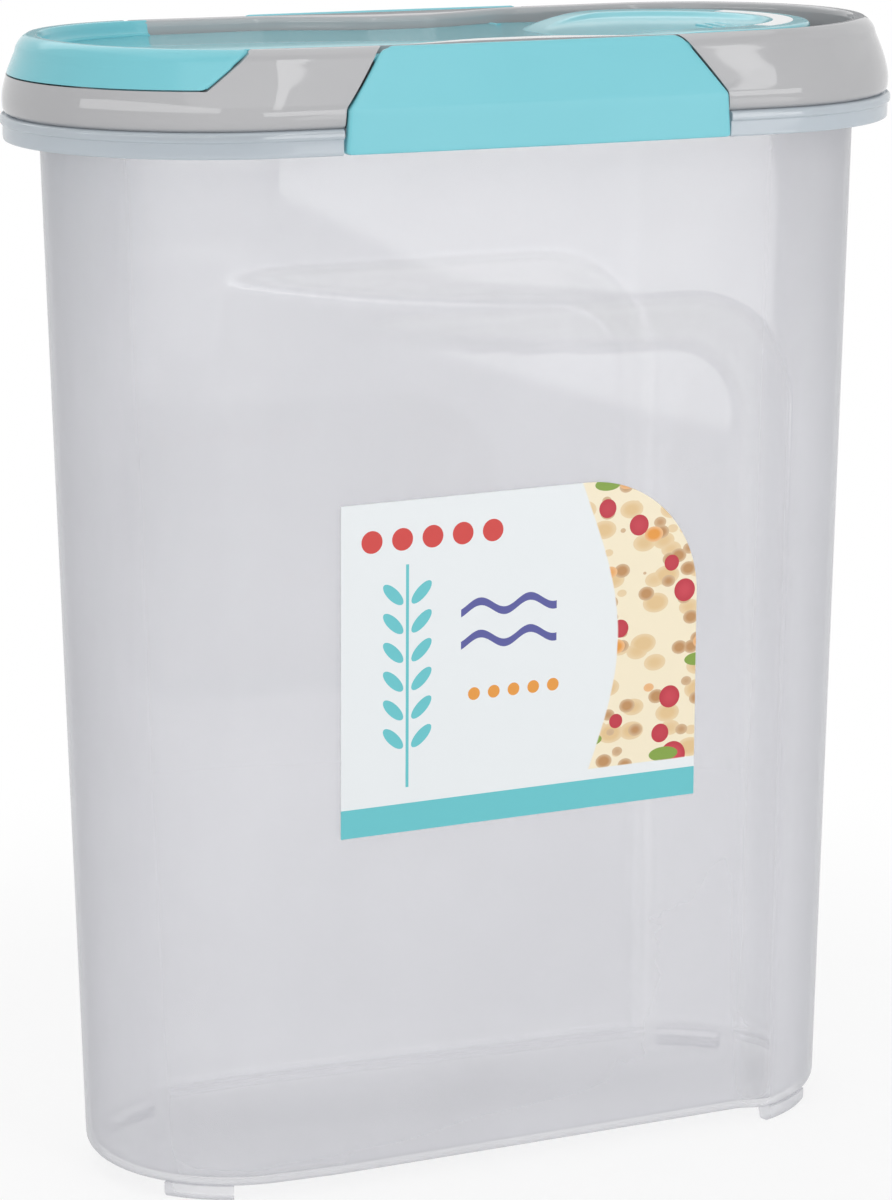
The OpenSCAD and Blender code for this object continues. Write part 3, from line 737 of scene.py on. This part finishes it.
def label_sheet(cols=72, rows=44, proud=0.26, behind=0.03):
    turn = np.linspace(0, 1, cols // 2 + 1)
    corner_x = LABEL_X1 - LABEL_R
    x = np.concatenate([LABEL_X0 + (corner_x - LABEL_X0) * turn,
                        corner_x + (LABEL_R - 0.02) * np.sin(turn[1:] * math.pi / 2)])
    top = LABEL_Z1 - LABEL_R + np.sqrt(LABEL_R ** 2 - np.maximum(x - corner_x, 0) ** 2)
    rings = []
    for xi, ti in zip(x, top):
        z = np.linspace(LABEL_Z0, ti, rows + 1)
        xs = np.full_like(z, xi)
        front, back = (np.stack([xs, wall_y(xs, z, out), z], 1) for out in (proud, behind))
        rings.append(np.concatenate([front, back[::-1]]))
    n = 2 * rows + 2
    return skin("label_sheet", rings, [(k, k + 1, n - 2 - k, n - 1 - k) for k in range(rows)])


finish_piece(label_sheet(), label_film, "container", "front_label", sharp=60)

# %% [markdown]
# ## The lid
# The lid's rim has one section all the way round the oval, so the rule that shapes it is a
# sweep. The tree below carries the section along the rim line with Curve to Mesh, then lifts
# the two ends a little and draws the well wall inwards between the clips, as the flap's waist
# is. Each of these is a named input.

# %% The swept rim as a node tree
def sweep_tree():
    nodes, given = tree_with("swept_rim", {
        "Path": "Object", "Section": "Object", "End rise": "Float", "Half length": "Float",
        "Rise above": "Float", "Waist": "Float", "Waist reach": "Float", "Waist from": "Float",
        "Waist above": "Float"})
    path = nodes.add("GeometryNodeObjectInfo", out="Geometry", Object=given["Path"])
    section = nodes.add("GeometryNodeObjectInfo", out="Geometry", Object=given["Section"])
    place = nodes.add("GeometryNodeInputPosition")
    kept = nodes.tree.nodes.new("GeometryNodeCaptureAttribute")
    kept.capture_items.new("VECTOR", "Across")
    plug(nodes.tree, kept.inputs["Geometry"], section)
    plug(nodes.tree, kept.inputs["Across"], place)
    across = nodes.split(Wire(nodes.tree, kept.outputs["Across"]))[0]
    upright = nodes.add("GeometryNodeSetCurveNormal", {"mode": "Z_UP"}, Curve=path)
    swept = nodes.add("GeometryNodeCurveToMesh", Curve=upright,
                      Profile_Curve=Wire(nodes.tree, kept.outputs["Geometry"]), Scale=1.0)
    x, y, z = nodes.split(place)
    rise = (x / given["Half length"]) ** 2.0 * given["End rise"] * z.over(given["Rise above"])
    inner = (-across).over(given["Waist from"]) * z.over(given["Waist above"])
    pull = given["Waist"] * (1.0 - abs(x).step(WAIST_X * MM, given["Waist reach"])) * inner
    shift = nodes.add("ShaderNodeCombineXYZ", Y=-(y.sign() * pull), Z=rise)
    bent = nodes.add("GeometryNodeSetPosition", Geometry=swept, Offset=shift)
    return end_tree(nodes, bent)


swept_rim = sweep_tree()


def sweep(name, path, section, rise=0.0, waist=0.0):
    """A section of [inset, height] carried round a closed path."""
    track = line("path", path)
    profile = line("section", [[-s[0], -s[1]] for s in section])
    obj = grow(name, swept_rim, {
        "Path": track, "Section": profile, "End rise": rise * MM, "Half length": HALF_L * MM,
        "Rise above": (LID_Z - RIDGE_H) * MM, "Waist": waist * MM,
        "Waist reach": CLIP_TOP_W / 2 * MM, "Waist from": (WELL_IN - 1.5) * MM,
        "Waist above": (FLOOR_Z - 1) * MM})
    for scrap in (track, profile):
        bpy.data.objects.remove(scrap)
    return obj


# %% The lid's section
def lid_side():
    """The outer face of the rim as [inset, height above the flange], foot to ridge."""
    return spline([[2.0, 0.06], [1.1, 0.8], [0.7, 2.4], [0.8, 5.5], [1.9, 10], [3.6, 14.4],
                   [5, 17.4], [6.4, LID_H - 0.9], [7.8, LID_H]], 4)


def ridge_over(roof):
    """The rim's inner edge: over the ridge and down the well wall to a level."""
    return [[8.8, LID_H], [WELL_IN - 0.6, LID_H - 0.05], [WELL_IN, LID_H - 1.2], *roof]


def lid_section():
    groove = wall_at(RIM_Z) + WALL_T + PLUG_GAP
    inner = rounded(ridge_over([
        [WELL_IN, FLOOR_UP - 0.5], [groove + PLUG_T, FLOOR_UP - FLOOR_T],
        [groove + PLUG_T, -PLUG_H], [groove + 0.4, -PLUG_H], [groove, 1.5 - PLUG_H],
        [groove, SEAL_H], [groove - SEAL_W, SEAL_H], [groove - SEAL_W, 0.3]]),
        [0, 0.8, 0.8, 0, 0.3, 0.5, 0.3, 0.3, 0, 0, 0.3], closed=False)
    return [[inset, RIM_Z + height] for inset, height in np.concatenate([lid_side(), inner])]


lid = sweep("lid_rim", oval(0), lid_section(), END_RISE, WAIST)
print("lid rim", [round(v / MM, 1) for v in lid.dimensions], "mm")

# %% [markdown]
# The well floor closes the rim, with the pour mouth and its low collar at the spout end. Then
# the room of the flap's cap, the two clip pockets and the pin holes are cut out. The cuts are
# Boolean modifiers on closed solids.

# %% Well floor, mouth and cuts
def mouth_outline(grow_by=0.0, spare=12):
    """The spout end of the oval, cut off square. A few spare points make way for each corner."""
    p, edge = oval(MOUTH_IN - grow_by, 40, 120), MOUTH_X + grow_by
    p = p[p[:, 0] < edge - 0.2]
    first, last = p[p[:, 1] > 0][0], p[p[:, 1] < 0][-1]
    p = np.roll(p, -int(np.argmax(p[:, 1] == first[1])), 0)
    loop = np.concatenate([p[spare:-spare], [[edge, last[1]], [edge, first[1]]]])
    return rounded(loop, [0] * (len(loop) - 2) + [8 + grow_by] * 2, 8)


def waist_at(x):
    """How far the well wall is drawn inwards at a place along the lid."""
    return WAIST * (1 - ease(WAIST_X, CLIP_TOP_W / 2, np.abs(x)))


def well_outline(inset):
    x, y = oval(inset).T
    return np.stack([x, y - np.sign(y) * waist_at(x)], 1)


def side_view(name, outline, y0, y1):
    """A prism seen from the front: its outline is in length and height."""
    return plate(name, outline, [], y0, y1, axis=1)


def clip_corners():
    return (np.array([CLIP_W / 2, CLIP_FOOT_Z]), np.array([CLIP_W / 2 - 0.8, RIM_Z + CREASE_UP]),
            np.array([CLIP_TOP_W / 2, LID_Z + 0.6]))


def clip_outline(grow_by=0.0, steps=12):
    """Front view of a clip: a trapezoid over a nearly square foot, with rounded corners."""
    corners, points = clip_corners(), []
    ways = [np.array([0, -1.0])]
    for a, b in zip(corners, corners[1:]):
        ways.append(np.array([b[1] - a[1], a[0] - b[0]]) / np.linalg.norm(b - a))
    ways.append(np.array([0, 1.0]))
    for corner, n1, n2, r in zip(corners, ways, ways[1:], (CLIP_FOOT_R, CLIP_CREASE_R, CLIP_R)):
        centre = corner - r * (n1 + n2) / (1 + n1 @ n2)
        for a in np.linspace(math.atan2(n1[1], n1[0]), math.atan2(n2[1], n2[0]), steps):
            points.append(centre + (r + grow_by) * np.array([math.cos(a), math.sin(a)]))
    half = np.array(points)
    return np.concatenate([half, half[::-1] * [-1, 1]])


mouth = mouth_outline()[::-1]
floor_z = FLOOR_Z - FLOOR_T
floor = plate("floor", well_outline(WELL_IN - 1), [mouth], floor_z, FLOOR_Z)
collar = plate("collar", mouth_outline(COLLAR_T), [mouth], floor_z + 0.2, FLOOR_Z + COLLAR_H)
combine(lid, [floor, collar], "UNION")

# the cap leaves the rim along a slanted shoulder, and its inner wall runs on a little further
rise = LID_H - SPLIT_UP + 3
room = [[-RIM_LEN, SPLIT_Z], [CAP_X, SPLIT_Z], [CAP_X + CAP_LEAN * rise, SPLIT_Z + rise],
        [-RIM_LEN, SPLIT_Z + rise]]
spout, sort_about = oval(STRIP_IN - FLAP_GAP), -40
spout = spout[spout[:, 0] < STRIP_X + FLAP_GAP]
order = np.argsort(np.arctan2(-spout[:, 1], sort_about - spout[:, 0]))
cuts = [side_view("cap_room", room, -RIM_DEP, RIM_DEP),
        plate("strip_room", spout[order][::-1], [], SPLIT_Z, SPLIT_Z + rise)]

# a pocket behind each clip, as wide as the clip and its gap, and a bore for its pins
back = PIN_Y - 1.9
_, crease, top = clip_corners()
pin_half = crease[0] + (top[0] - crease[0]) * (PIN_Z - crease[1]) / (top[1] - crease[1]) + PIN_LEN
bore_r, bore_half = PIN_R + 0.05, pin_half + 0.5
cuts += [side_view("pocket", clip_outline(CLIP_GAP), side * back, side * (back + 20))
         for side in (-1, 1)]
cuts += [rod("bore", bore_r, (-bore_half, side * PIN_Y, PIN_Z), (bore_half, side * PIN_Y, PIN_Z))
         for side in (-1, 1)]
combine(lid, cuts, "DIFFERENCE")
finish_piece(lid, grey_plastic, "container", "lid_frame", sharp=35)

# %% [markdown]
# ## The seals
# The silicone ring under the lid and the soft ring under the flap are both a small section that
# follows a path, so the same sweep tree makes them with its rise and waist left at nothing.

# %% Lid seal and flap seal
def ring_section(near, far, low, high, soft):
    return rounded([[near, low], [near, high], [far, high], [far, low]], soft)


outer = wall_at(RIM_Z) + WALL_T + PLUG_GAP - SEAL_W
lid_seal = sweep("lid_seal", oval(0), ring_section(
    outer + 0.02, outer + SEAL_W - 0.02, RIM_Z + 0.02, RIM_Z + SEAL_H - 0.02, 0.5))
finish_piece(lid_seal, seal_rubber, "container", "lid_gasket")
flap_seal = sweep("flap_lip", mouth_outline(), ring_section(
    -COLLAR_T - 0.6, 0.6, FLOOR_Z + COLLAR_H + SEAL_GAP, PANEL_Z - PANEL_T, 0.4))
finish_piece(flap_seal, seal_rubber, "spout_flap", "flap_seal")

# %% [markdown]
# ## The clips
# A clip is a bowed plate that hinges at the lid's ridge, leans outwards, turns at a crease and
# runs down over the rim to a hook. It is a grid: one section from the foot round to the hook,
# carried along the bow of the long side. Every row ends on the clip's outline, and its last
# columns turn the outer face inwards, so the side edges are softly rounded like the real ones.

# %% One clip
def clip_section():
    """[out from the rim skirt, height, share of the edge rounding, relief of the ends]."""
    crease_z, rear = RIM_Z + CREASE_UP, CLIP_PROUD - CLIP_T
    drop, hook, hook_top = LID_Z - crease_z, -NOTCH_IN - HOOK_IN, RIM_Z - FLANGE_T - HOOK_PLAY
    outer = [[CLIP_PROUD - 0.1, CLIP_FOOT_Z + 0.1], [CLIP_PROUD, crease_z - 0.8],
             [CLIP_PROUD - 0.1, crease_z + 0.3], [CLIP_PROUD - 2.9, LID_Z - 0.478 * drop],
             [-4.9, LID_Z - 1.4], [-5.2, LID_Z - 0.1], [-5.9, LID_Z + 0.3]]
    inner = [[-6.7, LID_Z - 0.2], [-8.4, PIN_Z + 1.2], [-8.8, PIN_Z], [-8.4, PIN_Z - 1.2],
             [-6, LID_Z - 7.4], [rear - 1.1, crease_z + 0.4], [rear, crease_z - 1.4],
             [rear, hook_top], [hook + 0.4, hook_top], [hook, hook_top - 0.5],
             [hook + 0.3, CLIP_FOOT_Z + 1.6], [1 - NOTCH_IN, CLIP_FOOT_Z], [-0.2, CLIP_FOOT_Z]]
    upper = RIM_Z + 8.5
    points = [[*p, 1.0, 0.0] for p in outer]
    points += [[*p, 0.0, CLIP_RELIEF if p[1] > upper else 0.15] for p in inner]
    radii = [0.5, 1.2, 1.0, 6.0, 1.2, 0.6, 0.5,
             0.5, 0.8, 0.8, 0.8, 2, 1, 0.6, 0.3, 0.3, 0.3, 0.5, 0.8, 0.6]
    return refine(rounded(points, radii, 5), 0.8)


def half_at(z):
    """Half width of the clip's outline at a height."""
    side = clip_outline(0, 24)
    side = side[side[:, 0] > 0]
    side = side[np.argsort(side[:, 1])]
    return np.interp(z, side[:, 1], side[:, 0])


def inward(section):
    """For each point of a closed section, the direction to its inside."""
    x, y = section[:, 0], section[:, 1]
    along = (np.roll(section, -1, 0) - np.roll(section, 1, 0))[:, :2]
    side = np.stack([-along[:, 1], along[:, 0]], 1) / np.linalg.norm(along, axis=1)[:, None]
    return side * np.sign(np.sum(x * np.roll(y, -1) - y * np.roll(x, -1)))


def stations(corner, middle):
    """Places along a piece, -1 to 1, each with the turn of the rounded edge at the two ends."""
    turns = np.linspace(0, math.pi / 2, corner)
    between = [(t, 0.0) for t in np.linspace(-1, 1, middle)[1:-1]]
    return [(-1, phi) for phi in turns[::-1]] + between + [(1, phi) for phi in turns]


def clip_shape(name, sign, edge=0.9):
    section, columns = clip_section(), []
    side, half = inward(section), half_at(section[:, 1]) - section[:, 3]
    for t, phi in stations(7, 43):
        flat = section[:, :2] + side * (edge * (1 - math.cos(phi)) * section[:, 2])[:, None]
        x = t * (half - edge * (1 - math.sin(phi)))
        y = np.sqrt((SIDE_R + flat[:, 0]) ** 2 - x * x) - SIDE_Y
        columns.append(np.stack([x, -y, flat[:, 1]], 1))
    shell = skin(name, columns, fill(section))
    pins = [rod("pin", PIN_R, (s * (pin_half - PIN_LEN - 3), -PIN_Y, PIN_Z),
                (s * pin_half, -PIN_Y, PIN_Z)) for s in (-1, 1)]
    obj = gather(name, [shell, *pins])
    if sign > 0:
        obj.data.transform(Matrix.Rotation(math.pi, 4, "Z"))
    return obj


for name, sign, body in (("clip_front", -1, "front_clip"), ("clip_rear", 1, "rear_clip")):
    finish_piece(clip_shape(name, sign), aqua_plastic, body, body, sharp=40)

# %% [markdown]
# ## The flap
# The flap is one rocking piece. Its cap carries on the lid's rounded rim over the spout, its
# panel lies in the well, and its thumb pad rises at the other end. The cap is the lid's own
# outer curve, carried only round the spout end, with each line of it ending on the slanted
# shoulder. The last few columns turn in, which rounds the shoulder's edge.

# %% The cap over the spout
ROOF = LID_H - PANEL_DOWN
CAP_RIDGE = ridge_over([[WELL_IN + 0.35, ROOF + 0.3], [WELL_IN + 2.6, ROOF - 0.15]])


def cap_section():
    """[inset, height, share of the edge rounding]: a thin shell, open below."""
    low = SPLIT_UP + FLAP_GAP
    side = np.array([s for s in lid_side() if s[1] > low + 0.3])
    ridge = rounded(CAP_RIDGE, [0, 0.8, 0.8, 1.0, 0], closed=False)[1:]
    top = np.concatenate([[[2.15, low]], side, CAP_RIDGE[:1], ridge])
    under = [[WELL_IN + 2.6, ROOF - PANEL_T + 0.1], [WELL_IN - 0.8, ROOF - PANEL_T + 0.1],
             [WELL_IN - 1.6, ROOF + 1.2], [WELL_IN - 2.8, LID_H - 2.1], [6.6, LID_H - 2.9],
             [5.2, LID_H - 5.7], [4, low]]
    return np.concatenate([np.c_[top, np.ones(len(top))], np.c_[under, np.zeros(len(under))]])


def round_the_spout(flat, end, t):
    """A section's points at t, -1 to 1, of the way that each has from end to end."""
    radius = END_R - flat[:, 0]
    limit = np.arccos(np.clip((end + END_X) / radius, -1, 1))
    angle = math.pi + (math.pi - limit) * t
    x = -END_X + radius * np.cos(angle)
    lift = np.where(flat[:, 1] > LID_H - RIDGE_H, END_RISE * (x / HALF_L) ** 2, 0)
    return np.stack([x, radius * np.sin(angle), RIM_Z + flat[:, 1] + lift], 1)


def cap_shape(edge=1.1):
    section, rings = cap_section(), []
    side = inward(section)
    shoulder = CAP_X - FLAP_GAP / 3 + CAP_LEAN * (section[:, 1] - SPLIT_UP - FLAP_GAP)
    for t, phi in stations(6, 81):
        flat = section[:, :2] + side * (edge * (1 - math.cos(phi)) * section[:, 2])[:, None]
        rings.append(round_the_spout(flat, shoulder - edge * (1 - math.sin(phi)), t))
    return skin("cap", rings, fill(section))


def strip_shape():
    """The cap's inner wall, which runs on inside the grey rim."""
    low = ROOF - PANEL_T + 0.1
    section = rounded([[STRIP_IN, LID_H - 4], [STRIP_IN, LID_H], *CAP_RIDGE[1:],
                       [WELL_IN + 2.6, low], [STRIP_IN + 0.3, low]],
                      [0, 0.5, 0.8, 0.8, 1.0, 0, 0, 0])
    rings = [round_the_spout(section, STRIP_X - FLAP_GAP, t) for t in np.linspace(-1, 1, 121)]
    return skin("strip", rings, fill(section))


cap, strip = cap_shape(), strip_shape()
print("cap", [round(v / MM, 1) for v in cap.dimensions], "mm")

# %% [markdown]
# The panel is a thin plate whose outline follows the well wall, narrows at the waist and meets
# the thumb pad's shoulders. The pad is a stack of ellipses: each ring lies low where the pad
# leaves the panel and climbs towards its free end.

# %% Panel and thumb pad
def panel_outline(inset=0.0):
    """The well wall's line to past the waist, then a straight shoulder, then the pad's ellipse."""
    gap = WELL_IN + PANEL_GAP + inset
    x = np.concatenate([np.linspace(-END_X, 29, 120), np.linspace(30, PAD_X - 6, 24)])
    well = np.sqrt((SIDE_R - gap) ** 2 - x * x) - SIDE_Y - waist_at(x)

    def pad(at):
        u = np.clip((at - PAD_X) / (PAD_A - 1 - inset), -1, 1)
        return (PAD_B - 1 - inset) * np.sqrt(1 - u * u)

    start, along = HALF_D - WELL_IN - 4 - inset, np.linspace(PIVOT_X + 4, PAD_X - 1, 200)
    rise = ((pad(along) - start) / (along - PIVOT_X)).max()
    shoulder = np.where(x > PIVOT_X, np.maximum(start + rise * (x - PIVOT_X), pad(x)), 1e3)
    ends = arc(-END_X, 0, END_R - gap, math.pi - SIDE_A, math.pi + SIDE_A, 60)[1:]
    upper = np.stack([x, np.minimum(well, shoulder)], 1)
    return np.concatenate([upper[::-1], ends, upper * [1, -1]])


def panel_shape():
    soft = 0.45
    rings = []
    for z, inset in ((PANEL_Z - PANEL_T, 0.3), (PANEL_Z - PANEL_T + 0.3, 0), (PANEL_Z - soft, 0),
                     (PANEL_Z - soft * 0.3, soft * 0.3), (PANEL_Z, soft)):
        p = panel_outline(inset)
        rings.append(np.concatenate([p, np.full((len(p), 1), z)], 1))
    return skin("panel", rings)


def pad_ring(s, z0, z1, cx, n=144):
    a = 2 * math.pi * np.arange(n) / n
    x = cx + s * PAD_A * np.cos(a)
    z = z0 + (z1 - z0) * ease(PAD_X - PAD_A, PAD_X - 4, x)
    return np.stack([x, s * PAD_B * np.sin(a), z], 1)


def pad_shape():
    under, top_low, bottom = PANEL_Z - PANEL_T + 0.4, PANEL_Z - 0.3, PAD_Z - BOWL_DEEP
    points = [[0.25, under, bottom - 1.4, DISH_X], [0.62, under, bottom - 1.4, DISH_X],
              [0.93, under, PAD_Z - PANEL_T, PAD_X], [0.955, under + 0.1, under + 0.6, PAD_X],
              [0.985, under + 0.1, under + 0.5, PAD_X], [1, under + 0.4, under + 1.1, PAD_X],
              [1, top_low - 0.3, PAD_Z - 1.0, PAD_X], [0.985, top_low - 0.1, PAD_Z - 0.2, PAD_X],
              [0.955, top_low, PAD_Z, PAD_X], [0.775, top_low, PAD_Z, DISH_X]]
    bowl = [[s, top_low, PAD_Z - BOWL_DEEP * fall, DISH_X] for s, fall in
            ((0.755, 0.1), (0.735, 0.28), (0.715, 0.46), (0.69, 0.58), (0.6, 0.72), (0.4, 0.92),
             (0.1, 1.0))]
    radii = [0, 1, 0.5, 0.3, 0.4, 0.5, 0.6, 0.6, 1.2, 1.0] + [0] * len(bowl)
    line_up = rounded([[p[0] * PAD_A, *p[1:]] for p in points + bowl], radii, 4, closed=False)
    return skin("pad", [pad_ring(s / PAD_A, z0, z1, cx) for s, z0, z1, cx in line_up])


# %% [markdown]
# Three short ridges on the pad give the thumb its hold. They repeat on growing circles, so a
# Geometry Nodes tree scales one arc for each and sweeps a small round section along them.

# %% Ridges under the thumb
def ridge_tree():
    nodes, given = tree_with("thumb_ridges", {
        "Count": "Int", "First radius": "Float", "Spacing": "Float", "Half angle": "Float",
        "Thickness": "Float", "Centre": "Vector"})
    index = nodes.add("GeometryNodeInputIndex")
    points = nodes.add("GeometryNodePoints", Count=given["Count"])
    bow = nodes.add("GeometryNodeCurveArc", {"mode": "RADIUS"}, Resolution=28, Radius=1.0,
                    Start_Angle=-given["Half angle"], Sweep_Angle=2.0 * given["Half angle"])
    size = given["First radius"] + given["Spacing"] * index
    bows = nodes.add("GeometryNodeInstanceOnPoints", Points=points, Instance=bow,
                     Scale=nodes.add("ShaderNodeCombineXYZ", X=size, Y=size, Z=1.0))
    real = nodes.add("GeometryNodeRealizeInstances", Geometry=bows)
    along = nodes.add("GeometryNodeSplineParameter", out="Factor")
    taper = (1.0 - (abs(2.0 * along - 1.0)) ** 10.0).most(0.02) ** 0.5
    round_bar = nodes.add("GeometryNodeCurvePrimitiveCircle", Resolution=12,
                          Radius=given["Thickness"])
    bars = nodes.add("GeometryNodeCurveToMesh", Curve=real, Profile_Curve=round_bar, Scale=taper,
                     Fill_Caps=True)
    moved = nodes.add("GeometryNodeSetPosition", Geometry=bars, Offset=given["Centre"])
    return end_tree(nodes, moved)


ridges = grow("ridges", ridge_tree(), {
    "Count": 3, "First radius": 15 * MM, "Spacing": 3.6 * MM, "Half angle": math.radians(20),
    "Thickness": 0.62 * MM, "Centre": Vector((DISH_X, 0, PAD_Z - BOWL_DEEP + 0.2)) * MM})


def pivot_parts(bite=2.5, length=9.5, boss=5):
    """A boss and a pin on each side, at the pivot. The pin bites into the well's wall."""
    end = HALF_D - WELL_IN - float(waist_at(PIVOT_X)) + bite
    inner = end - length
    return [rod(name, r, (PIVOT_X, side * inner, PIVOT_Z), (PIVOT_X, side * reach, PIVOT_Z))
            for side in (-1, 1)
            for name, r, reach in (("boss", PIVOT_R + 1, inner + boss), ("pivot", PIVOT_R, end))]


dimple = rod("dimple", 0.9, (PIVOT_X, -16, PANEL_Z - 0.5), (PIVOT_X, -16, PANEL_Z + 1))
panel = combine(panel_shape(), [dimple], "DIFFERENCE")
flap = gather("flap", [cap, strip, panel, pad_shape(), ridges, *pivot_parts()])
finish_piece(flap, flap_plastic, "spout_flap", "spout_flap", sharp=40)

# %% Sticker on the pad
def sticker_shape():
    a = np.radians(np.linspace(-60, 35, 60))
    arcs = [np.stack([s * PAD_A * np.cos(a), s * PAD_B * np.sin(a)], 1) for s in (0.785, 0.92)]
    loop = np.concatenate([arcs[0], arcs[1][::-1]]) + [DISH_X, 0]
    return plate("pad_patch", loop, [], PAD_Z + 0.01, PAD_Z + 0.14)


finish_piece(sticker_shape(), sticker_paper, "spout_flap", "pad_sticker")

# %% [markdown]
# ## The studio
# The photograph stands on pure white under big soft lamps. The world and the floor look white to
# the camera, to reflections and to light that comes through the plastic, while the lamps alone
# set how bright the object is, so that each colour renders about as it is written. A low card
# shows as a faint patch on the front wall. A grey flag behind, which the camera doesn't see,
# gives the flat top of the flap something darker to reflect.

# %% Backdrop and floor
def white_for(nodes):
    """1 for rays from the camera, in reflections and through glass, else 0."""
    path = nodes.tree.nodes.new("ShaderNodeLightPath")
    rays = [Wire(nodes.tree, path.outputs["Is %s Ray" % kind])
            for kind in ("Camera", "Glossy", "Transmission")]
    return (rays[0] + rays[1] + rays[2]).least(1.0)


world = bpy.data.worlds.new("studio")
bpy.context.scene.world = world
world.use_nodes = True
world.node_tree.nodes.clear()
sky = Nodes(world.node_tree)
backdrop = sky.add("ShaderNodeBackground", Color=(1, 1, 1, 1),
                   Strength=0.46 + 0.54 * white_for(sky))
show(sky, backdrop, "ShaderNodeOutputWorld")

floor_paper, paper, place = new_material("floor_paper")
fibre = paper.noise(place, 40.0, 3.0, 0.5)
tone = paper.mix(fibre, (0.86, 0.86, 0.86, 1), (0.9, 0.9, 0.9, 1))
matte = paper.add("ShaderNodeBsdfDiffuse", Color=tone)
glow = paper.add("ShaderNodeEmission", Color=(1, 1, 1, 1), Strength=1.0)
x, y, _ = paper.split(place)
far = ((x * x + y * y) ** 0.5).step(0.16, 0.4)
show(paper, paper.share(white_for(paper) * (0.8 + 0.2 * far), matte, glow))
SHEET = 4000
ground = make("floor_sheet", [[-SHEET, -SHEET, -0.05], [SHEET, -SHEET, -0.05],
                              [SHEET, SHEET, -0.05], [-SHEET, SHEET, -0.05]], [(0, 1, 2, 3)])
ground.data.materials.append(floor_paper)

# %% Lamps
def softbox(name, azimuth, elevation, distance, wide, tall, glow, lean=0):
    """A soft lamp at a bearing from the front, facing the object, with an even glow."""
    lamp = bpy.data.lights.new(name, "AREA")
    lamp.shape, lamp.size, lamp.size_y = "RECTANGLE", wide, tall
    lamp.energy = glow * math.pi * wide * tall
    obj = add_object(name, lamp)
    a, e = math.radians(azimuth), math.radians(elevation)
    way = Vector((math.sin(a) * math.cos(e), -math.cos(a) * math.cos(e), math.sin(e)))
    obj.location = Vector((0, 0, 0.25)) + way * distance
    facing = (-way).to_track_quat("-Z", "Y").to_matrix()
    obj.rotation_euler = (facing @ Matrix.Rotation(math.radians(-lean), 3, "Z")).to_euler()


softbox("window_left_post", 13.1, 34, 1.7, 0.11, 1.37, 3.2, lean=15)
softbox("window_right_post", 35.6, 25, 1.7, 0.05, 0.9, 3.2, lean=13)
softbox("window_sill", 22.5, 3.5, 1.7, 1.37, 0.27, 3.0)
softbox("low_card", 27, -6.6, 0.62, 0.42, 0.12, 1.2, lean=15)
softbox("left_band", -59, 15, 1.9, 2.9, 0.34, 2.6)
softbox("front_soft", -2, 36, 2.6, 3.4, 1.8, 0.7)
softbox("top", 180, 80, 2.2, 2.6, 2.2, 0.75)
softbox("back", 180, 40, 2.6, 2.6, 1.2, 1.0)
softbox("right_side", 100, 30, 2.2, 1.4, 1.4, 0.15)

flag_card = block("grey_flag", 100, 850, 1100, 1102, 340, 522)
flag_paper, flag, place = new_material("flag_paper")
weave = flag.mix(flag.noise(place, 30.0, 2.0, 0.5), srgb(168, 170, 172), srgb(174, 176, 178))
show(flag, flag.add("ShaderNodeBsdfDiffuse", Color=weave))
flag_card.data.materials.append(flag_paper)
flag_card.visible_camera = False

scene = bpy.context.scene
scene.view_settings.view_transform = "Standard"
